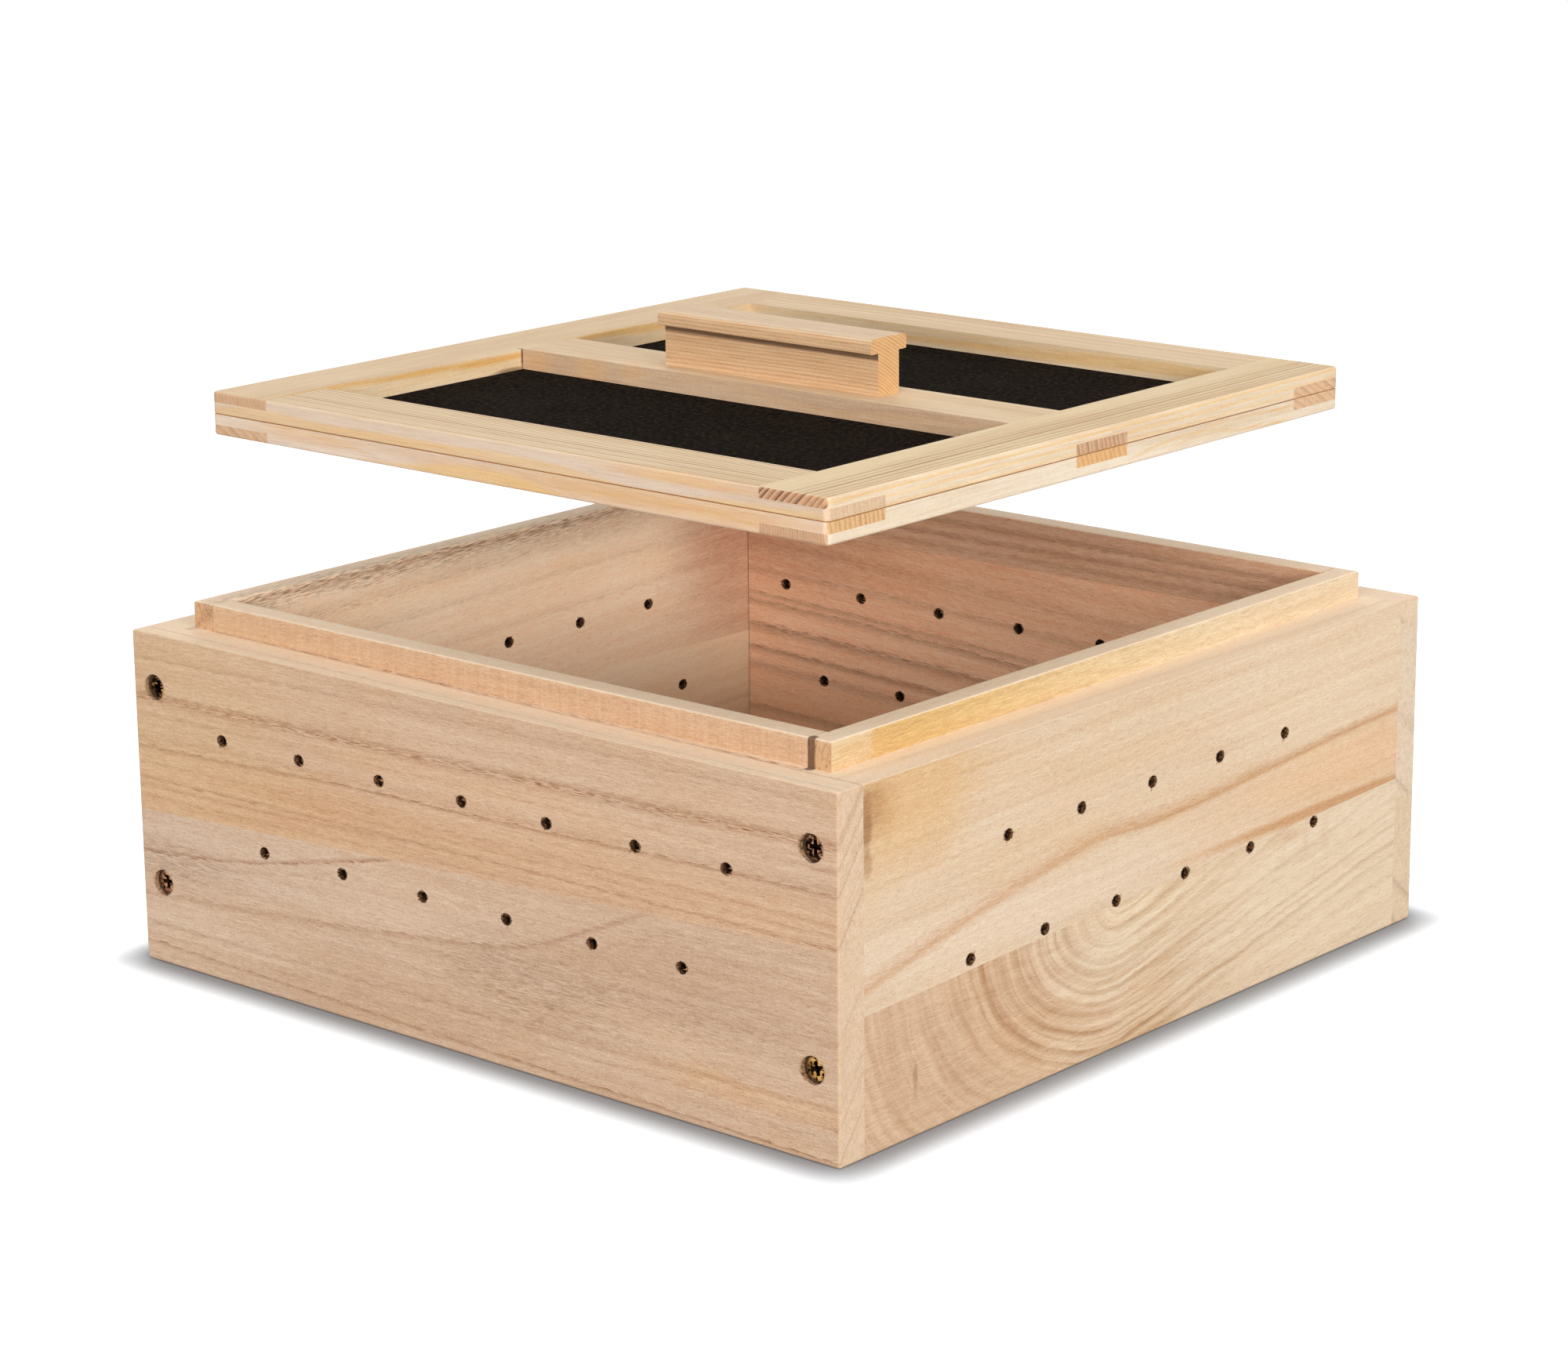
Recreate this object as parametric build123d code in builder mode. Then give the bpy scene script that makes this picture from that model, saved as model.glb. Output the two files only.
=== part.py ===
"""A square wooden hive box with a stacking rim and vent holes, and its cloth-filled lid, lifted off."""

import os

from build123d import *

os.makedirs("parts", exist_ok=True)

# The origin is the middle of the box's footprint, on the surface that it stands on.
# X runs along the front wall, Y from front to back and Z up. All sizes are in millimetres.

# Box
box_width = 350.0
box_depth = 350.0
wall = 27.0
wall_height = 131.0
rim_height = 10.5
rim_thickness = 10.0
corner_tongue = 13.0
corner_gap = 0.4
stack_clearance = 1.0
edge_round = 1.0

# Vent holes, in two staggered rows
vent_hole = 4.5
vent_pitch = 42.0
upper_row_height = 95.4
lower_row_height = 55.9
front_upper_count = 7
front_lower_count = 6
side_upper_count = 5
side_lower_count = 6

# Glue seams between the staves: height at the middle of the wall, and rise from one vent hole to the next
front_seam = (68.25, 1.86)
right_seam = (55.2, 1.296)
left_seam = (75.0, -0.96)
back_low_seam = (48.5, 0.84)
back_top_seam = (121.0, 0.24)

# Wall screws, two to a corner, sunk below the face of the front and back walls
wall_screw_shank = 4.5
wall_screw_head = 8.6
wall_screw_length = 45.0
wall_screw_inset = 11.6
wall_screw_heights = (32.6, 110.0)
screw_recess = 10.2
screw_recess_depth = 2.2

# Lid: two half-lapped frames with a cloth between them, lifted above the rim
lid_width = 302.0
lid_depth = 302.0
lid_lift = 64.0
lid_rail = 30.0
frame_thickness = 8.0
cloth_thickness = 0.5
cloth_inset = 0.8
lid_corner = 2.4
lid_round = 1.1

# Handle: a T-shaped grip along the crossbar
handle_length = 106.0
handle_stem = 12.0
handle_stem_height = 16.2
handle_flange = 20.6
handle_flange_height = 5.8
handle_round = 2.4
handle_arris = 0.6

# Lid screws, driven from below
handle_screw_shank = 3.5
handle_screw_head = 7.0
handle_screw_length = 28.0
handle_screw_spacing = 64.0
frame_screw_shank = 3.0
frame_screw_head = 5.6
frame_screw_length = 12.0

screw_clearance = 0.1
bore_overrun = 1.0

# Sizes that follow from those above
box_height = wall_height + rim_height
inner_width = box_width - 2 * wall
inner_depth = box_depth - 2 * wall
rim_width = inner_width + 2 * rim_thickness
rim_depth = inner_depth + 2 * rim_thickness
lid_bottom = box_height + lid_lift
cloth_bottom = lid_bottom + frame_thickness
upper_frame_bottom = cloth_bottom + cloth_thickness
lid_top = upper_frame_bottom + frame_thickness
lap = frame_thickness / 2


def keep(builder, name):
    """Labels a finished piece and writes it as its own file."""
    builder.part.label = name
    export_step(builder.part, f"parts/{name}.step")


def wood_screw(shank, head, length):
    """A countersunk wood screw: top of the head at the origin, point towards -Z."""
    head_height = (head - shank) / 2
    with BuildPart() as screw:
        with BuildSketch(Plane.XZ):
            with BuildLine():
                Polyline(
                    (0, 0),
                    (head / 2, 0),
                    (shank / 2, -head_height),
                    (shank / 2, -length + shank),
                    (0, -length),
                    close=True,
                )
            make_face()
        revolve(axis=Axis.Z)
    return screw.part


def screw_bore(shank, head, length, recess, recess_depth):
    """The hole that such a screw sits in, with a straight recess above its head, run out past the face."""
    head_height = (head - shank) / 2
    bore = shank / 2 + screw_clearance
    sink = head / 2 + screw_clearance
    mouth = recess_depth + bore_overrun
    with BuildPart() as hole:
        with BuildSketch(Plane.XZ):
            with BuildLine():
                Polyline(
                    (0, 0),
                    (sink, 0),
                    (bore, -head_height),
                    (bore, -length - screw_clearance),
                    (0, -length - screw_clearance),
                    close=True,
                )
            make_face()
            with Locations((recess / 4, mouth / 2)):
                Rectangle(recess / 2, mouth)
        revolve(axis=Axis.Z)
    return hole.part


# The whole box as one block: each stave takes its share, so that rim, ledge and edges run true
with BuildPart() as block:
    with BuildSketch():
        Rectangle(box_width, box_depth)
    extrude(amount=wall_height)
    with BuildSketch(Plane.XY.offset(wall_height)):
        Rectangle(rim_width, rim_depth)
    extrude(amount=rim_height)
    with BuildSketch():
        Rectangle(inner_width, inner_depth)
    extrude(amount=box_height, mode=Mode.SUBTRACT)
    with BuildSketch():
        Rectangle(rim_width + 2 * stack_clearance, rim_depth + 2 * stack_clearance)
    extrude(amount=rim_height + stack_clearance, mode=Mode.SUBTRACT)
    outer_faces = block.faces().filter_by(Axis.Z, reverse=True)
    outside = outer_faces.sort_by(Axis.X)[-1:] + outer_faces.sort_by(Axis.X)[:1]
    outside += outer_faces.sort_by(Axis.Y)[-1:] + outer_faces.sort_by(Axis.Y)[:1]
    rim_top = block.faces().sort_by(Axis.Z)[-1]
    fillet(outside.edges() + rim_top.edges(), edge_round)

# Vent holes, drilled right across the box
with BuildPart() as front_vents:
    with BuildSketch(Plane.XZ):
        with Locations((0, upper_row_height)):
            with GridLocations(vent_pitch, 1, front_upper_count, 1):
                Circle(vent_hole / 2)
        with Locations((0, lower_row_height)):
            with GridLocations(vent_pitch, 1, front_lower_count, 1):
                Circle(vent_hole / 2)
    extrude(amount=box_depth, both=True)

with BuildPart() as side_vents:
    with BuildSketch(Plane.YZ):
        with Locations((0, upper_row_height)):
            with GridLocations(vent_pitch, 1, side_upper_count, 1):
                Circle(vent_hole / 2)
        with Locations((0, lower_row_height)):
            with GridLocations(vent_pitch, 1, side_lower_count, 1):
                Circle(vent_hole / 2)
    extrude(amount=box_width, both=True)

# Wall screws and their holes: a seat is the top of the screw's head, facing out of the wall
seat_depth = box_depth / 2 - screw_recess_depth
wall_screw_seats = {
    side: [
        Location(Plane(origin=(x, side * seat_depth, z), z_dir=(0, side, 0)))
        for x in (wall_screw_inset - box_width / 2, box_width / 2 - wall_screw_inset)
        for z in wall_screw_heights
    ]
    for side in (-1, 1)
}
wall_screw = wood_screw(wall_screw_shank, wall_screw_head, wall_screw_length)
wall_screw_bore = screw_bore(
    wall_screw_shank, wall_screw_head, wall_screw_length, screw_recess, screw_recess_depth
)
with BuildPart() as wall_screw_bores:
    with Locations(*wall_screw_seats[-1], *wall_screw_seats[1]):
        add(wall_screw_bore)

for side, name in ((-1, "front_wall_screws"), (1, "back_wall_screws")):
    with BuildPart() as screws:
        with Locations(*wall_screw_seats[side]):
            add(wall_screw)
    keep(screws, name)


def seam_line(seam, length, height):
    """Ends of a glue seam, carried on past both ends of the wall; None stands for a level edge."""
    middle, rise = seam if seam else (height, 0)
    climb = rise * length / vent_pitch
    return (-length, middle - climb), (length, middle + climb)


def wall_stave(name, plan, plane, length, seam_below, seam_above, vents):
    """One glued stave of a wall, from one seam to the next."""
    with BuildPart() as stave:
        add(plan)
        extrude(amount=box_height)
        with BuildSketch(plane):
            with BuildLine():
                low = seam_line(seam_below, length, 0)
                high = seam_line(seam_above, length, box_height)
                Polyline(*low, high[1], high[0], close=True)
            make_face()
        extrude(amount=box_width + box_depth, both=True, mode=Mode.INTERSECT)
        add(block.part, mode=Mode.INTERSECT)
        add(vents, mode=Mode.SUBTRACT)
        add(wall_screw_bores.part, mode=Mode.SUBTRACT)
    keep(stave, name)


# Front and back walls run the full width, and their ends lap over the side walls in a rebate
def long_wall_plan(side):
    with BuildSketch() as plan:
        with Locations((0, side * (box_depth - corner_tongue) / 2)):
            Rectangle(box_width, corner_tongue)
        with Locations((0, side * (box_depth - wall) / 2)):
            Rectangle(inner_width - 2 * corner_gap, wall)
    return plan.sketch


# Side walls stand between the tongues of the front and back walls
def side_wall_plan(side):
    with BuildSketch() as plan:
        with Locations((side * (box_width - wall) / 2, 0)):
            Rectangle(wall, box_depth - 2 * corner_tongue)
    return plan.sketch


front_plan = long_wall_plan(-1)
back_plan = long_wall_plan(1)
left_plan = side_wall_plan(-1)
right_plan = side_wall_plan(1)

wall_stave("front_lower_stave", front_plan, Plane.XZ, box_width, None, front_seam, front_vents.part)
wall_stave("front_upper_stave", front_plan, Plane.XZ, box_width, front_seam, None, front_vents.part)
wall_stave("back_lower_stave", back_plan, Plane.XZ, box_width, None, back_low_seam, front_vents.part)
wall_stave(
    "back_middle_stave", back_plan, Plane.XZ, box_width, back_low_seam, back_top_seam, front_vents.part
)
wall_stave("back_top_stave", back_plan, Plane.XZ, box_width, back_top_seam, None, front_vents.part)
wall_stave("left_lower_stave", left_plan, Plane.YZ, box_depth, None, left_seam, side_vents.part)
wall_stave("left_upper_stave", left_plan, Plane.YZ, box_depth, left_seam, None, side_vents.part)
wall_stave("right_lower_stave", right_plan, Plane.YZ, box_depth, None, right_seam, side_vents.part)
wall_stave("right_upper_stave", right_plan, Plane.YZ, box_depth, right_seam, None, side_vents.part)

# The lid as one slab with its corners and outer edges rounded: each rail takes its share
with BuildPart() as lid_slab:
    with BuildSketch(Plane.XY.offset(lid_bottom)):
        RectangleRounded(lid_width, lid_depth, lid_corner)
    extrude(amount=lid_top - lid_bottom)
    slab_faces = lid_slab.faces().filter_by(Axis.Z)
    fillet(slab_faces.edges(), lid_round)

# Screws from below: one through each corner lap and crossbar lap, and two up into the handle
rail_x = (lid_width - lid_rail) / 2
rail_y = (lid_depth - lid_rail) / 2
below = Plane(origin=(0, 0, lid_bottom), z_dir=(0, 0, -1))
frame_screw_seats = [
    below.location * Pos(x, y) for x in (-rail_x, rail_x) for y in (-rail_y, 0, rail_y)
]
handle_screw_seats = [
    below.location * Pos(x, 0) for x in (-handle_screw_spacing / 2, handle_screw_spacing / 2)
]
frame_screw = wood_screw(frame_screw_shank, frame_screw_head, frame_screw_length)
handle_screw = wood_screw(handle_screw_shank, handle_screw_head, handle_screw_length)

with BuildPart() as frame_screws:
    with Locations(*frame_screw_seats):
        add(frame_screw)
keep(frame_screws, "frame_screws")

with BuildPart() as handle_screws:
    with Locations(*handle_screw_seats):
        add(handle_screw)
keep(handle_screws, "handle_screws")

frame_screw_bore = screw_bore(
    frame_screw_shank, frame_screw_head, frame_screw_length, frame_screw_head + 2 * screw_clearance, 0
)
handle_screw_bore = screw_bore(
    handle_screw_shank, handle_screw_head, handle_screw_length, handle_screw_head + 2 * screw_clearance, 0
)
with BuildPart() as lid_bores:
    with Locations(*frame_screw_seats):
        add(frame_screw_bore)
    with Locations(*handle_screw_seats):
        add(handle_screw_bore)


def side_rail(name, side, bottom, lap_bottom):
    """A rail that runs from front to back: its outer half is whole, its inner half is notched."""
    with BuildPart() as rail:
        with BuildSketch(Plane.XY.offset(bottom)):
            with Locations((side * rail_x, 0)):
                Rectangle(lid_rail, lid_depth)
        extrude(amount=frame_thickness)
        with BuildSketch(Plane.XY.offset(lap_bottom)):
            with Locations((side * rail_x, -rail_y), (side * rail_x, 0), (side * rail_x, rail_y)):
                Rectangle(lid_rail, lid_rail)
        extrude(amount=lap, mode=Mode.SUBTRACT)
        add(lid_slab.part, mode=Mode.INTERSECT)
        add(lid_bores.part, mode=Mode.SUBTRACT)
    keep(rail, name)


def cross_rail(name, y, bottom, lap_bottom):
    """A rail that runs from left to right: its ends are halved to pass under the side rails."""
    with BuildPart() as rail:
        with BuildSketch(Plane.XY.offset(bottom)):
            with Locations((0, y)):
                Rectangle(lid_width, lid_rail)
        extrude(amount=frame_thickness)
        with BuildSketch(Plane.XY.offset(lap_bottom)):
            with Locations((-rail_x, y), (rail_x, y)):
                Rectangle(lid_rail, lid_rail)
        extrude(amount=lap, mode=Mode.SUBTRACT)
        add(lid_slab.part, mode=Mode.INTERSECT)
        add(lid_bores.part, mode=Mode.SUBTRACT)
    keep(rail, name)


# The upper frame has the side rails on top, and the lower frame is its mirror image
for frame, bottom, inner_half, outer_half in (
    ("upper", upper_frame_bottom, upper_frame_bottom, upper_frame_bottom + lap),
    ("lower", lid_bottom, lid_bottom + lap, lid_bottom),
):
    side_rail(f"{frame}_left_rail", -1, bottom, inner_half)
    side_rail(f"{frame}_right_rail", 1, bottom, inner_half)
    cross_rail(f"{frame}_front_rail", -rail_y, bottom, outer_half)
    cross_rail(f"{frame}_crossbar", 0, bottom, outer_half)
    cross_rail(f"{frame}_back_rail", rail_y, bottom, outer_half)

# Cloth clamped between the frames, cut just inside their outline
with BuildPart() as lid_cloth:
    with BuildSketch(Plane.XY.offset(cloth_bottom)):
        RectangleRounded(lid_width - 2 * cloth_inset, lid_depth - 2 * cloth_inset, lid_corner - cloth_inset)
    extrude(amount=cloth_thickness)
    add(lid_bores.part, mode=Mode.SUBTRACT)
keep(lid_cloth, "lid_cloth")

# Handle: a grip of T section, seated on the crossbar
with BuildPart() as lid_handle:
    with BuildSketch(Plane.YZ):
        with Locations((0, lid_top + handle_stem_height / 2)):
            Rectangle(handle_stem, handle_stem_height)
        with Locations((0, lid_top + handle_stem_height + handle_flange_height / 2)):
            Rectangle(handle_flange, handle_flange_height)
    extrude(amount=handle_length / 2, both=True)
    long_edges = lid_handle.edges().filter_by(Axis.X).group_by(Axis.Z)
    fillet(long_edges[-1], handle_round)
    flange_under = lid_handle.edges().filter_by(Axis.X).group_by(Axis.Z)[1]
    fillet(flange_under.sort_by(Axis.Y)[:1] + flange_under.sort_by(Axis.Y)[-1:], handle_arris)
    add(lid_bores.part, mode=Mode.SUBTRACT)
keep(lid_handle, "lid_handle")
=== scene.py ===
# %% [markdown]
# # A hive box with its lid lifted off
#
# The real object is four low walls of soft, pale wood, each glued up from two or three staves, with a rim on
# top that the next box fits over. Its lid is two thin pine frames with a dark cloth clamped between them, and
# a grip. The solids come from the CAD model, in one frame and in metres, so this lesson only dresses them.

# %% Load the solids
import math
import random
from types import SimpleNamespace

import bpy
from mathutils import Matrix, Vector


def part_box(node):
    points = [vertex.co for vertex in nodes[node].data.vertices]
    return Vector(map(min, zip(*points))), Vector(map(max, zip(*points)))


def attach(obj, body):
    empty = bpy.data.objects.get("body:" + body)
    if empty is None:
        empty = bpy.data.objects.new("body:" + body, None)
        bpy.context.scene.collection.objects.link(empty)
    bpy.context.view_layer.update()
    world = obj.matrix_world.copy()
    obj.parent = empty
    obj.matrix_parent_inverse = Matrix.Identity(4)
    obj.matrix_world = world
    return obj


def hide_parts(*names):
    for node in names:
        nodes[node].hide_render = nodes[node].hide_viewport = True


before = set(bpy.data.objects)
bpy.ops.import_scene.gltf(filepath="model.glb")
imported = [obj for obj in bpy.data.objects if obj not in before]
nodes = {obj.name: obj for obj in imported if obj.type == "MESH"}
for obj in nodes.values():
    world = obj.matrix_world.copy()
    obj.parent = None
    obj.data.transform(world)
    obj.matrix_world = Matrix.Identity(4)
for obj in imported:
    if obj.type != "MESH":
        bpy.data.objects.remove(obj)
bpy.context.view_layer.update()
MM = 0.001

# %% [markdown]
# ## Camera
#
# A long lens looks at the near corner from a little above. Its turn, dip and distance were fitted to the
# corners of the box in a picture of 2000 by 1721 pixels, so the focal length is written in those pixels and
# turned into millimetres here. There is no shift and no depth of field, so other views can move it freely.

# %% Place the camera
PICTURE_WIDTH = 2000
FOCAL_PIXELS = 5262
SENSOR_WIDTH = 36.0
VIEW_TURN = math.radians(40.93)
VIEW_DIP = math.radians(14.72)
VIEW_ROLL = math.radians(0.51)
VIEW_DISTANCE = 1.588
VIEW_AIM = Vector((0.0003, 0.0003, 0.1063))


def new_object(name, data):
    """An object in the scene for a mesh, a lamp or a camera."""
    thing = bpy.data.objects.new(name, data)
    bpy.context.scene.collection.objects.link(thing)
    return thing


def place_camera():
    level = math.cos(VIEW_DIP)
    ahead = Vector((-math.sin(VIEW_TURN) * level, math.cos(VIEW_TURN) * level, -math.sin(VIEW_DIP)))
    right = Vector((math.cos(VIEW_TURN), math.sin(VIEW_TURN), 0))
    down = ahead.cross(right)
    across = math.cos(VIEW_ROLL) * right + math.sin(VIEW_ROLL) * down
    upward = math.sin(VIEW_ROLL) * right - math.cos(VIEW_ROLL) * down
    lens = bpy.data.cameras.new("camera")
    lens.sensor_fit = "HORIZONTAL"
    lens.sensor_width = SENSOR_WIDTH
    lens.lens = FOCAL_PIXELS / PICTURE_WIDTH * SENSOR_WIDTH
    camera = new_object("camera", lens)
    turn = Matrix((across, upward, -ahead)).transposed().to_4x4()
    camera.matrix_world = Matrix.Translation(VIEW_AIM - VIEW_DISTANCE * ahead) @ turn
    bpy.context.scene.camera = camera
    return camera


print("lens in mm:", round(place_camera().data.lens, 1))

# %% [markdown]
# ## Nodes in short calls
#
# Wood is many thin layers of tone, so its node trees are long. Two small helpers keep them readable. A
# Wiring adds a node, feeds its inputs with numbers or with other nodes, and gives back what it puts out.
# That is a Field, and a sign such as + or * between fields adds the Math node, so that a layer reads as one
# line. Colours are written as they look on a screen and turned into the linear values that Blender mixes.

# %% Fields and wirings


def srgb(red, green, blue):
    """A screen colour, from 0 to 255, as a linear colour."""
    shares = [value / 255 for value in (red, green, blue)]
    linear = [s / 12.92 if s <= 0.04045 else ((s + 0.055) / 1.055) ** 2.4 for s in shares]
    return (*linear, 1.0)


class Field:
    """What a node puts out. A sign between it and a field, number or vector adds a Math node."""

    def __init__(self, wiring, socket):
        self.wiring = wiring
        self.socket = socket

    def __add__(self, other):
        return self.wiring.math("ADD", self, other)

    def __sub__(self, other):
        return self.wiring.math("SUBTRACT", self, other)

    def __rsub__(self, other):
        return self.wiring.math("SUBTRACT", other, self)

    def __mul__(self, other):
        return self.wiring.math("MULTIPLY", self, other)

    def __truediv__(self, other):
        return self.wiring.math("DIVIDE", self, other)


class Wiring:
    """Adds nodes to one tree. What it feeds to them are numbers, colours, vectors or fields."""

    def __init__(self, tree):
        self.tree = tree

    def feed(self, socket, value):
        if isinstance(value, Field):
            self.tree.links.new(value.socket, socket)
        else:
            socket.default_value = value

    def add(self, kind, inputs=None, **settings):
        """A new node, with its inputs fed by name or by number."""
        node = self.tree.nodes.new(kind)
        for name, value in settings.items():
            setattr(node, name, value)
        for name, value in (inputs or {}).items():
            self.feed(node.inputs[name], value)
        return node

    def outputs(self, node):
        return {socket.name: Field(self, socket) for socket in node.outputs}

    def get(self, kind, output=0, inputs=None, **settings):
        """One output of a new node, by name or by number."""
        return Field(self, self.add(kind, inputs, **settings).outputs[output])

    def math(self, operation, *values):
        """A Math node, or a Vector Math node where one of the values is a vector. Length is output 1."""
        kinds = {value.socket.type if isinstance(value, Field) else type(value) for value in values}
        kind = "ShaderNodeVectorMath" if kinds & {"VECTOR", "RGBA", tuple} else "ShaderNodeMath"
        return self.get(kind, int(operation == "LENGTH"), dict(enumerate(values)), operation=operation)

    def split(self, vector):
        return list(self.outputs(self.add("ShaderNodeSeparateXYZ", {0: vector})).values())

    def join(self, *values):
        return self.get("ShaderNodeCombineXYZ", 0, dict(enumerate(values)))

    def grey(self, value):
        return self.join(value, value, value)

    def noise(self, place, size=(1.0, 1.0, 1.0), detail=2.0, roughness=0.5):
        """Noise in clouds of about this size along each axis."""
        values = {"Vector": place / size, "Scale": 1.0, "Detail": detail, "Roughness": roughness}
        return self.get("ShaderNodeTexNoise", "Fac", values)

    def step(self, value, low, high):
        """Goes smoothly from 0 at low to 1 at high."""
        values = {"Value": value, "From Min": low, "From Max": high}
        return self.get("ShaderNodeMapRange", "Result", values, interpolation_type="SMOOTHSTEP")

    def mix(self, share, under, over, blend="MIX"):
        """Inputs 6 and 7 of a Mix node are its two colours, and output 2 is the mixed one."""
        return self.get("ShaderNodeMix", 2, {0: share, 6: under, 7: over}, data_type="RGBA", blend_type=blend)

    def layer(self, under, mask, strength, over):
        return self.mix(mask * strength, under, over)

    def place(self, group, **values):
        """A node group in this tree, with its outputs by name."""
        return self.outputs(self.add("ShaderNodeGroup", values, node_tree=group))

    def surface(self, shader):
        self.add("ShaderNodeOutputMaterial", {"Surface": shader})


print("helper ready:", ", ".join(n for n in vars(Wiring) if not n.startswith("_")))

# %% Start of a group and of a material


def make_group(build, **inputs):
    """A shader node group. Build takes its inputs as fields and gives back its outputs by name."""
    tree = bpy.data.node_groups.new(build.__name__, "ShaderNodeTree")
    for name, value in inputs.items():
        kind = "NodeSocketVector" if isinstance(value, tuple) else "NodeSocketFloat"
        tree.interface.new_socket(name, in_out="INPUT", socket_type=kind).default_value = value
    w = Wiring(tree)
    given = w.outputs(w.add("NodeGroupInput"))
    made = build(w, *(given[name] for name in inputs))
    for name in made:
        tree.interface.new_socket(name, in_out="OUTPUT", socket_type="NodeSocketFloat")
    w.add("NodeGroupOutput", made)
    print("group:", tree.name, "gives", ", ".join(made))
    return tree


def start_material(name):
    """A new material, its wiring, and the surface's place in millimetres."""
    material = bpy.data.materials.new(name)
    material.use_nodes = True
    material.node_tree.nodes.clear()
    w = Wiring(material.node_tree)
    return material, w, w.get("ShaderNodeTexCoord", "Object") * (1 / MM, 1 / MM, 1 / MM)


print("helpers ready:", make_group.__name__, start_material.__name__)

# %% [markdown]
# ## Floor and light
#
# The object stands on a plain pale floor in soft studio light. The camera sees the floor and the sky as
# white, by Light Path, while the light that falls on the wood stays at a plain level. Part of it comes from
# all round. Two wide, low softboxes stand to the right and in front: they make the right-hand faces the
# brighter ones, and shine under the lid onto the inner walls. A third one above, the weakest, keeps the
# tops from going dull, and a fourth behind fills the far sides, with no sheen of its own. Only the open
# floor glows fully, so that it is white there. In a band at the foot of the box the glow fades out and the
# floor is left grey, a painted shadow that the real soft shadow deepens. The floor inside the open box is
# paler than the rest, and lights the inner walls from below; for the camera it also glows a little, as
# painted light on its shade.

# %% Floor, sky and lamps
SKY_LEVEL = 0.28
FLOOR_SIZE = 6.0
FLOOR_DROP = 0.0001
FLOOR_TONE = (0.42, 0.42, 0.42, 1)
CONTACT_TONE = (0.35, 0.365, 0.385, 1)
INNER_TONE = (0.9, 0.9, 0.9, 1)
INNER_EDGE = (160.0, 170.0)
INNER_GLOW = 0.35
GLOW_REACH = (175.5, 197.0)
GLOW_CORNER = 30.0
SOFTBOXES = {
    "right_softbox": {"place": (3.69, -1.0, 0.93), "wide": 2.4, "tall": 1.0, "power": 99.0},
    "front_softbox": {"place": (1.2, -3.6, 1.1), "wide": 2.4, "tall": 1.1, "power": 75.0},
    "top_softbox": {"place": (0.3, -0.2, 2.3), "wide": 2.0, "tall": 2.0, "power": 18.0},
    "back_softbox": {"place": (-2.6, 2.6, 1.3), "wide": 2.4, "tall": 1.4, "power": 60.0, "matt": True},
}


def seen_directly(w):
    """1 where the camera, a reflection or clear glass looks straight at a surface."""
    path = w.outputs(w.add("ShaderNodeLightPath"))
    mirrored = w.math("MAXIMUM", path["Is Glossy Ray"], path["Is Transmission Ray"])
    return w.math("MAXIMUM", path["Is Camera Ray"], mirrored)


def light_the_stage():
    world = bpy.data.worlds.new("studio")
    world.use_nodes = True
    bpy.context.scene.world = world
    w = Wiring(world.node_tree)
    sky = world.node_tree.nodes["Background"]
    w.feed(sky.inputs["Color"], (1, 1, 1, 1))
    w.feed(sky.inputs["Strength"], seen_directly(w) * (1 - SKY_LEVEL) + SKY_LEVEL)
    for name, kit in SOFTBOXES.items():
        lamp = bpy.data.lights.new(name, "AREA")
        lamp.shape = "RECTANGLE"
        lamp.energy = kit["power"]
        lamp.size = kit["wide"]
        lamp.size_y = kit["tall"]
        softbox = new_object(name, lamp)
        softbox.location = kit["place"]
        softbox.rotation_euler = Vector(kit["place"]).to_track_quat("Z", "Y").to_euler()
        softbox.visible_camera = False
        softbox.visible_glossy = not kit.get("matt", False)


def lay_floor():
    half = FLOOR_SIZE / 2
    mesh = bpy.data.meshes.new("floor")
    corners = [(-half, -half), (half, -half), (half, half), (-half, half)]
    mesh.from_pydata([(x, y, -FLOOR_DROP) for x, y in corners], [], [(0, 1, 2, 3)])
    material, w, place = start_material("floor")
    x, y, _ = w.split(w.math("ABSOLUTE", place))
    seen = seen_directly(w)
    outside = w.step(w.math("MAXIMUM", x, y), *INNER_EDGE)
    tone = w.mix(seen * outside, w.mix(outside, INNER_TONE, FLOOR_TONE), CONTACT_TONE)
    # The glow fades out in a band round the foot of the box, a painted shadow; inside, INNER_GLOW is painted
    # light.
    lift = w.step(w.math("SMOOTH_MAX", x, y, GLOW_CORNER), *GLOW_REACH)
    matt = w.get("ShaderNodeBsdfDiffuse", 0, {"Color": tone})
    glow = w.get("ShaderNodeEmission", 0, {"Strength": seen * ((1.0 - outside) * INNER_GLOW + lift)})
    w.surface(w.get("ShaderNodeAddShader", 0, {0: matt, 1: glow}))
    mesh.materials.append(material)
    floor = new_object("floor", mesh)


light_the_stage()
lay_floor()
bpy.context.scene.view_settings.view_transform = "Standard"
print("sky level:", SKY_LEVEL, "softboxes:", {name: kit["power"] for name, kit in SOFTBOXES.items()})

# %% [markdown]
# ## What every wood shares
#
# Wood is a bundle of long fibres, so its fine texture is noise that is stretched along the board. Taken in
# all three directions, the same noise gives streaks on the long faces and specks on the end grain, with no
# seam between them. Growth rings, stains, torn hole edges and darkened arrises are masks of their own; the
# arrises are partly rubbed and partly painted shade that tones down the light on their rounded edges. Each
# is a node group, placed in a finish with that board's own values, and every length in them is in
# millimetres.

# %% Groups for fibres, growth lines and rings
FIBRE_OFFSET = (7.3, 11.9, 5.1)


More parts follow.
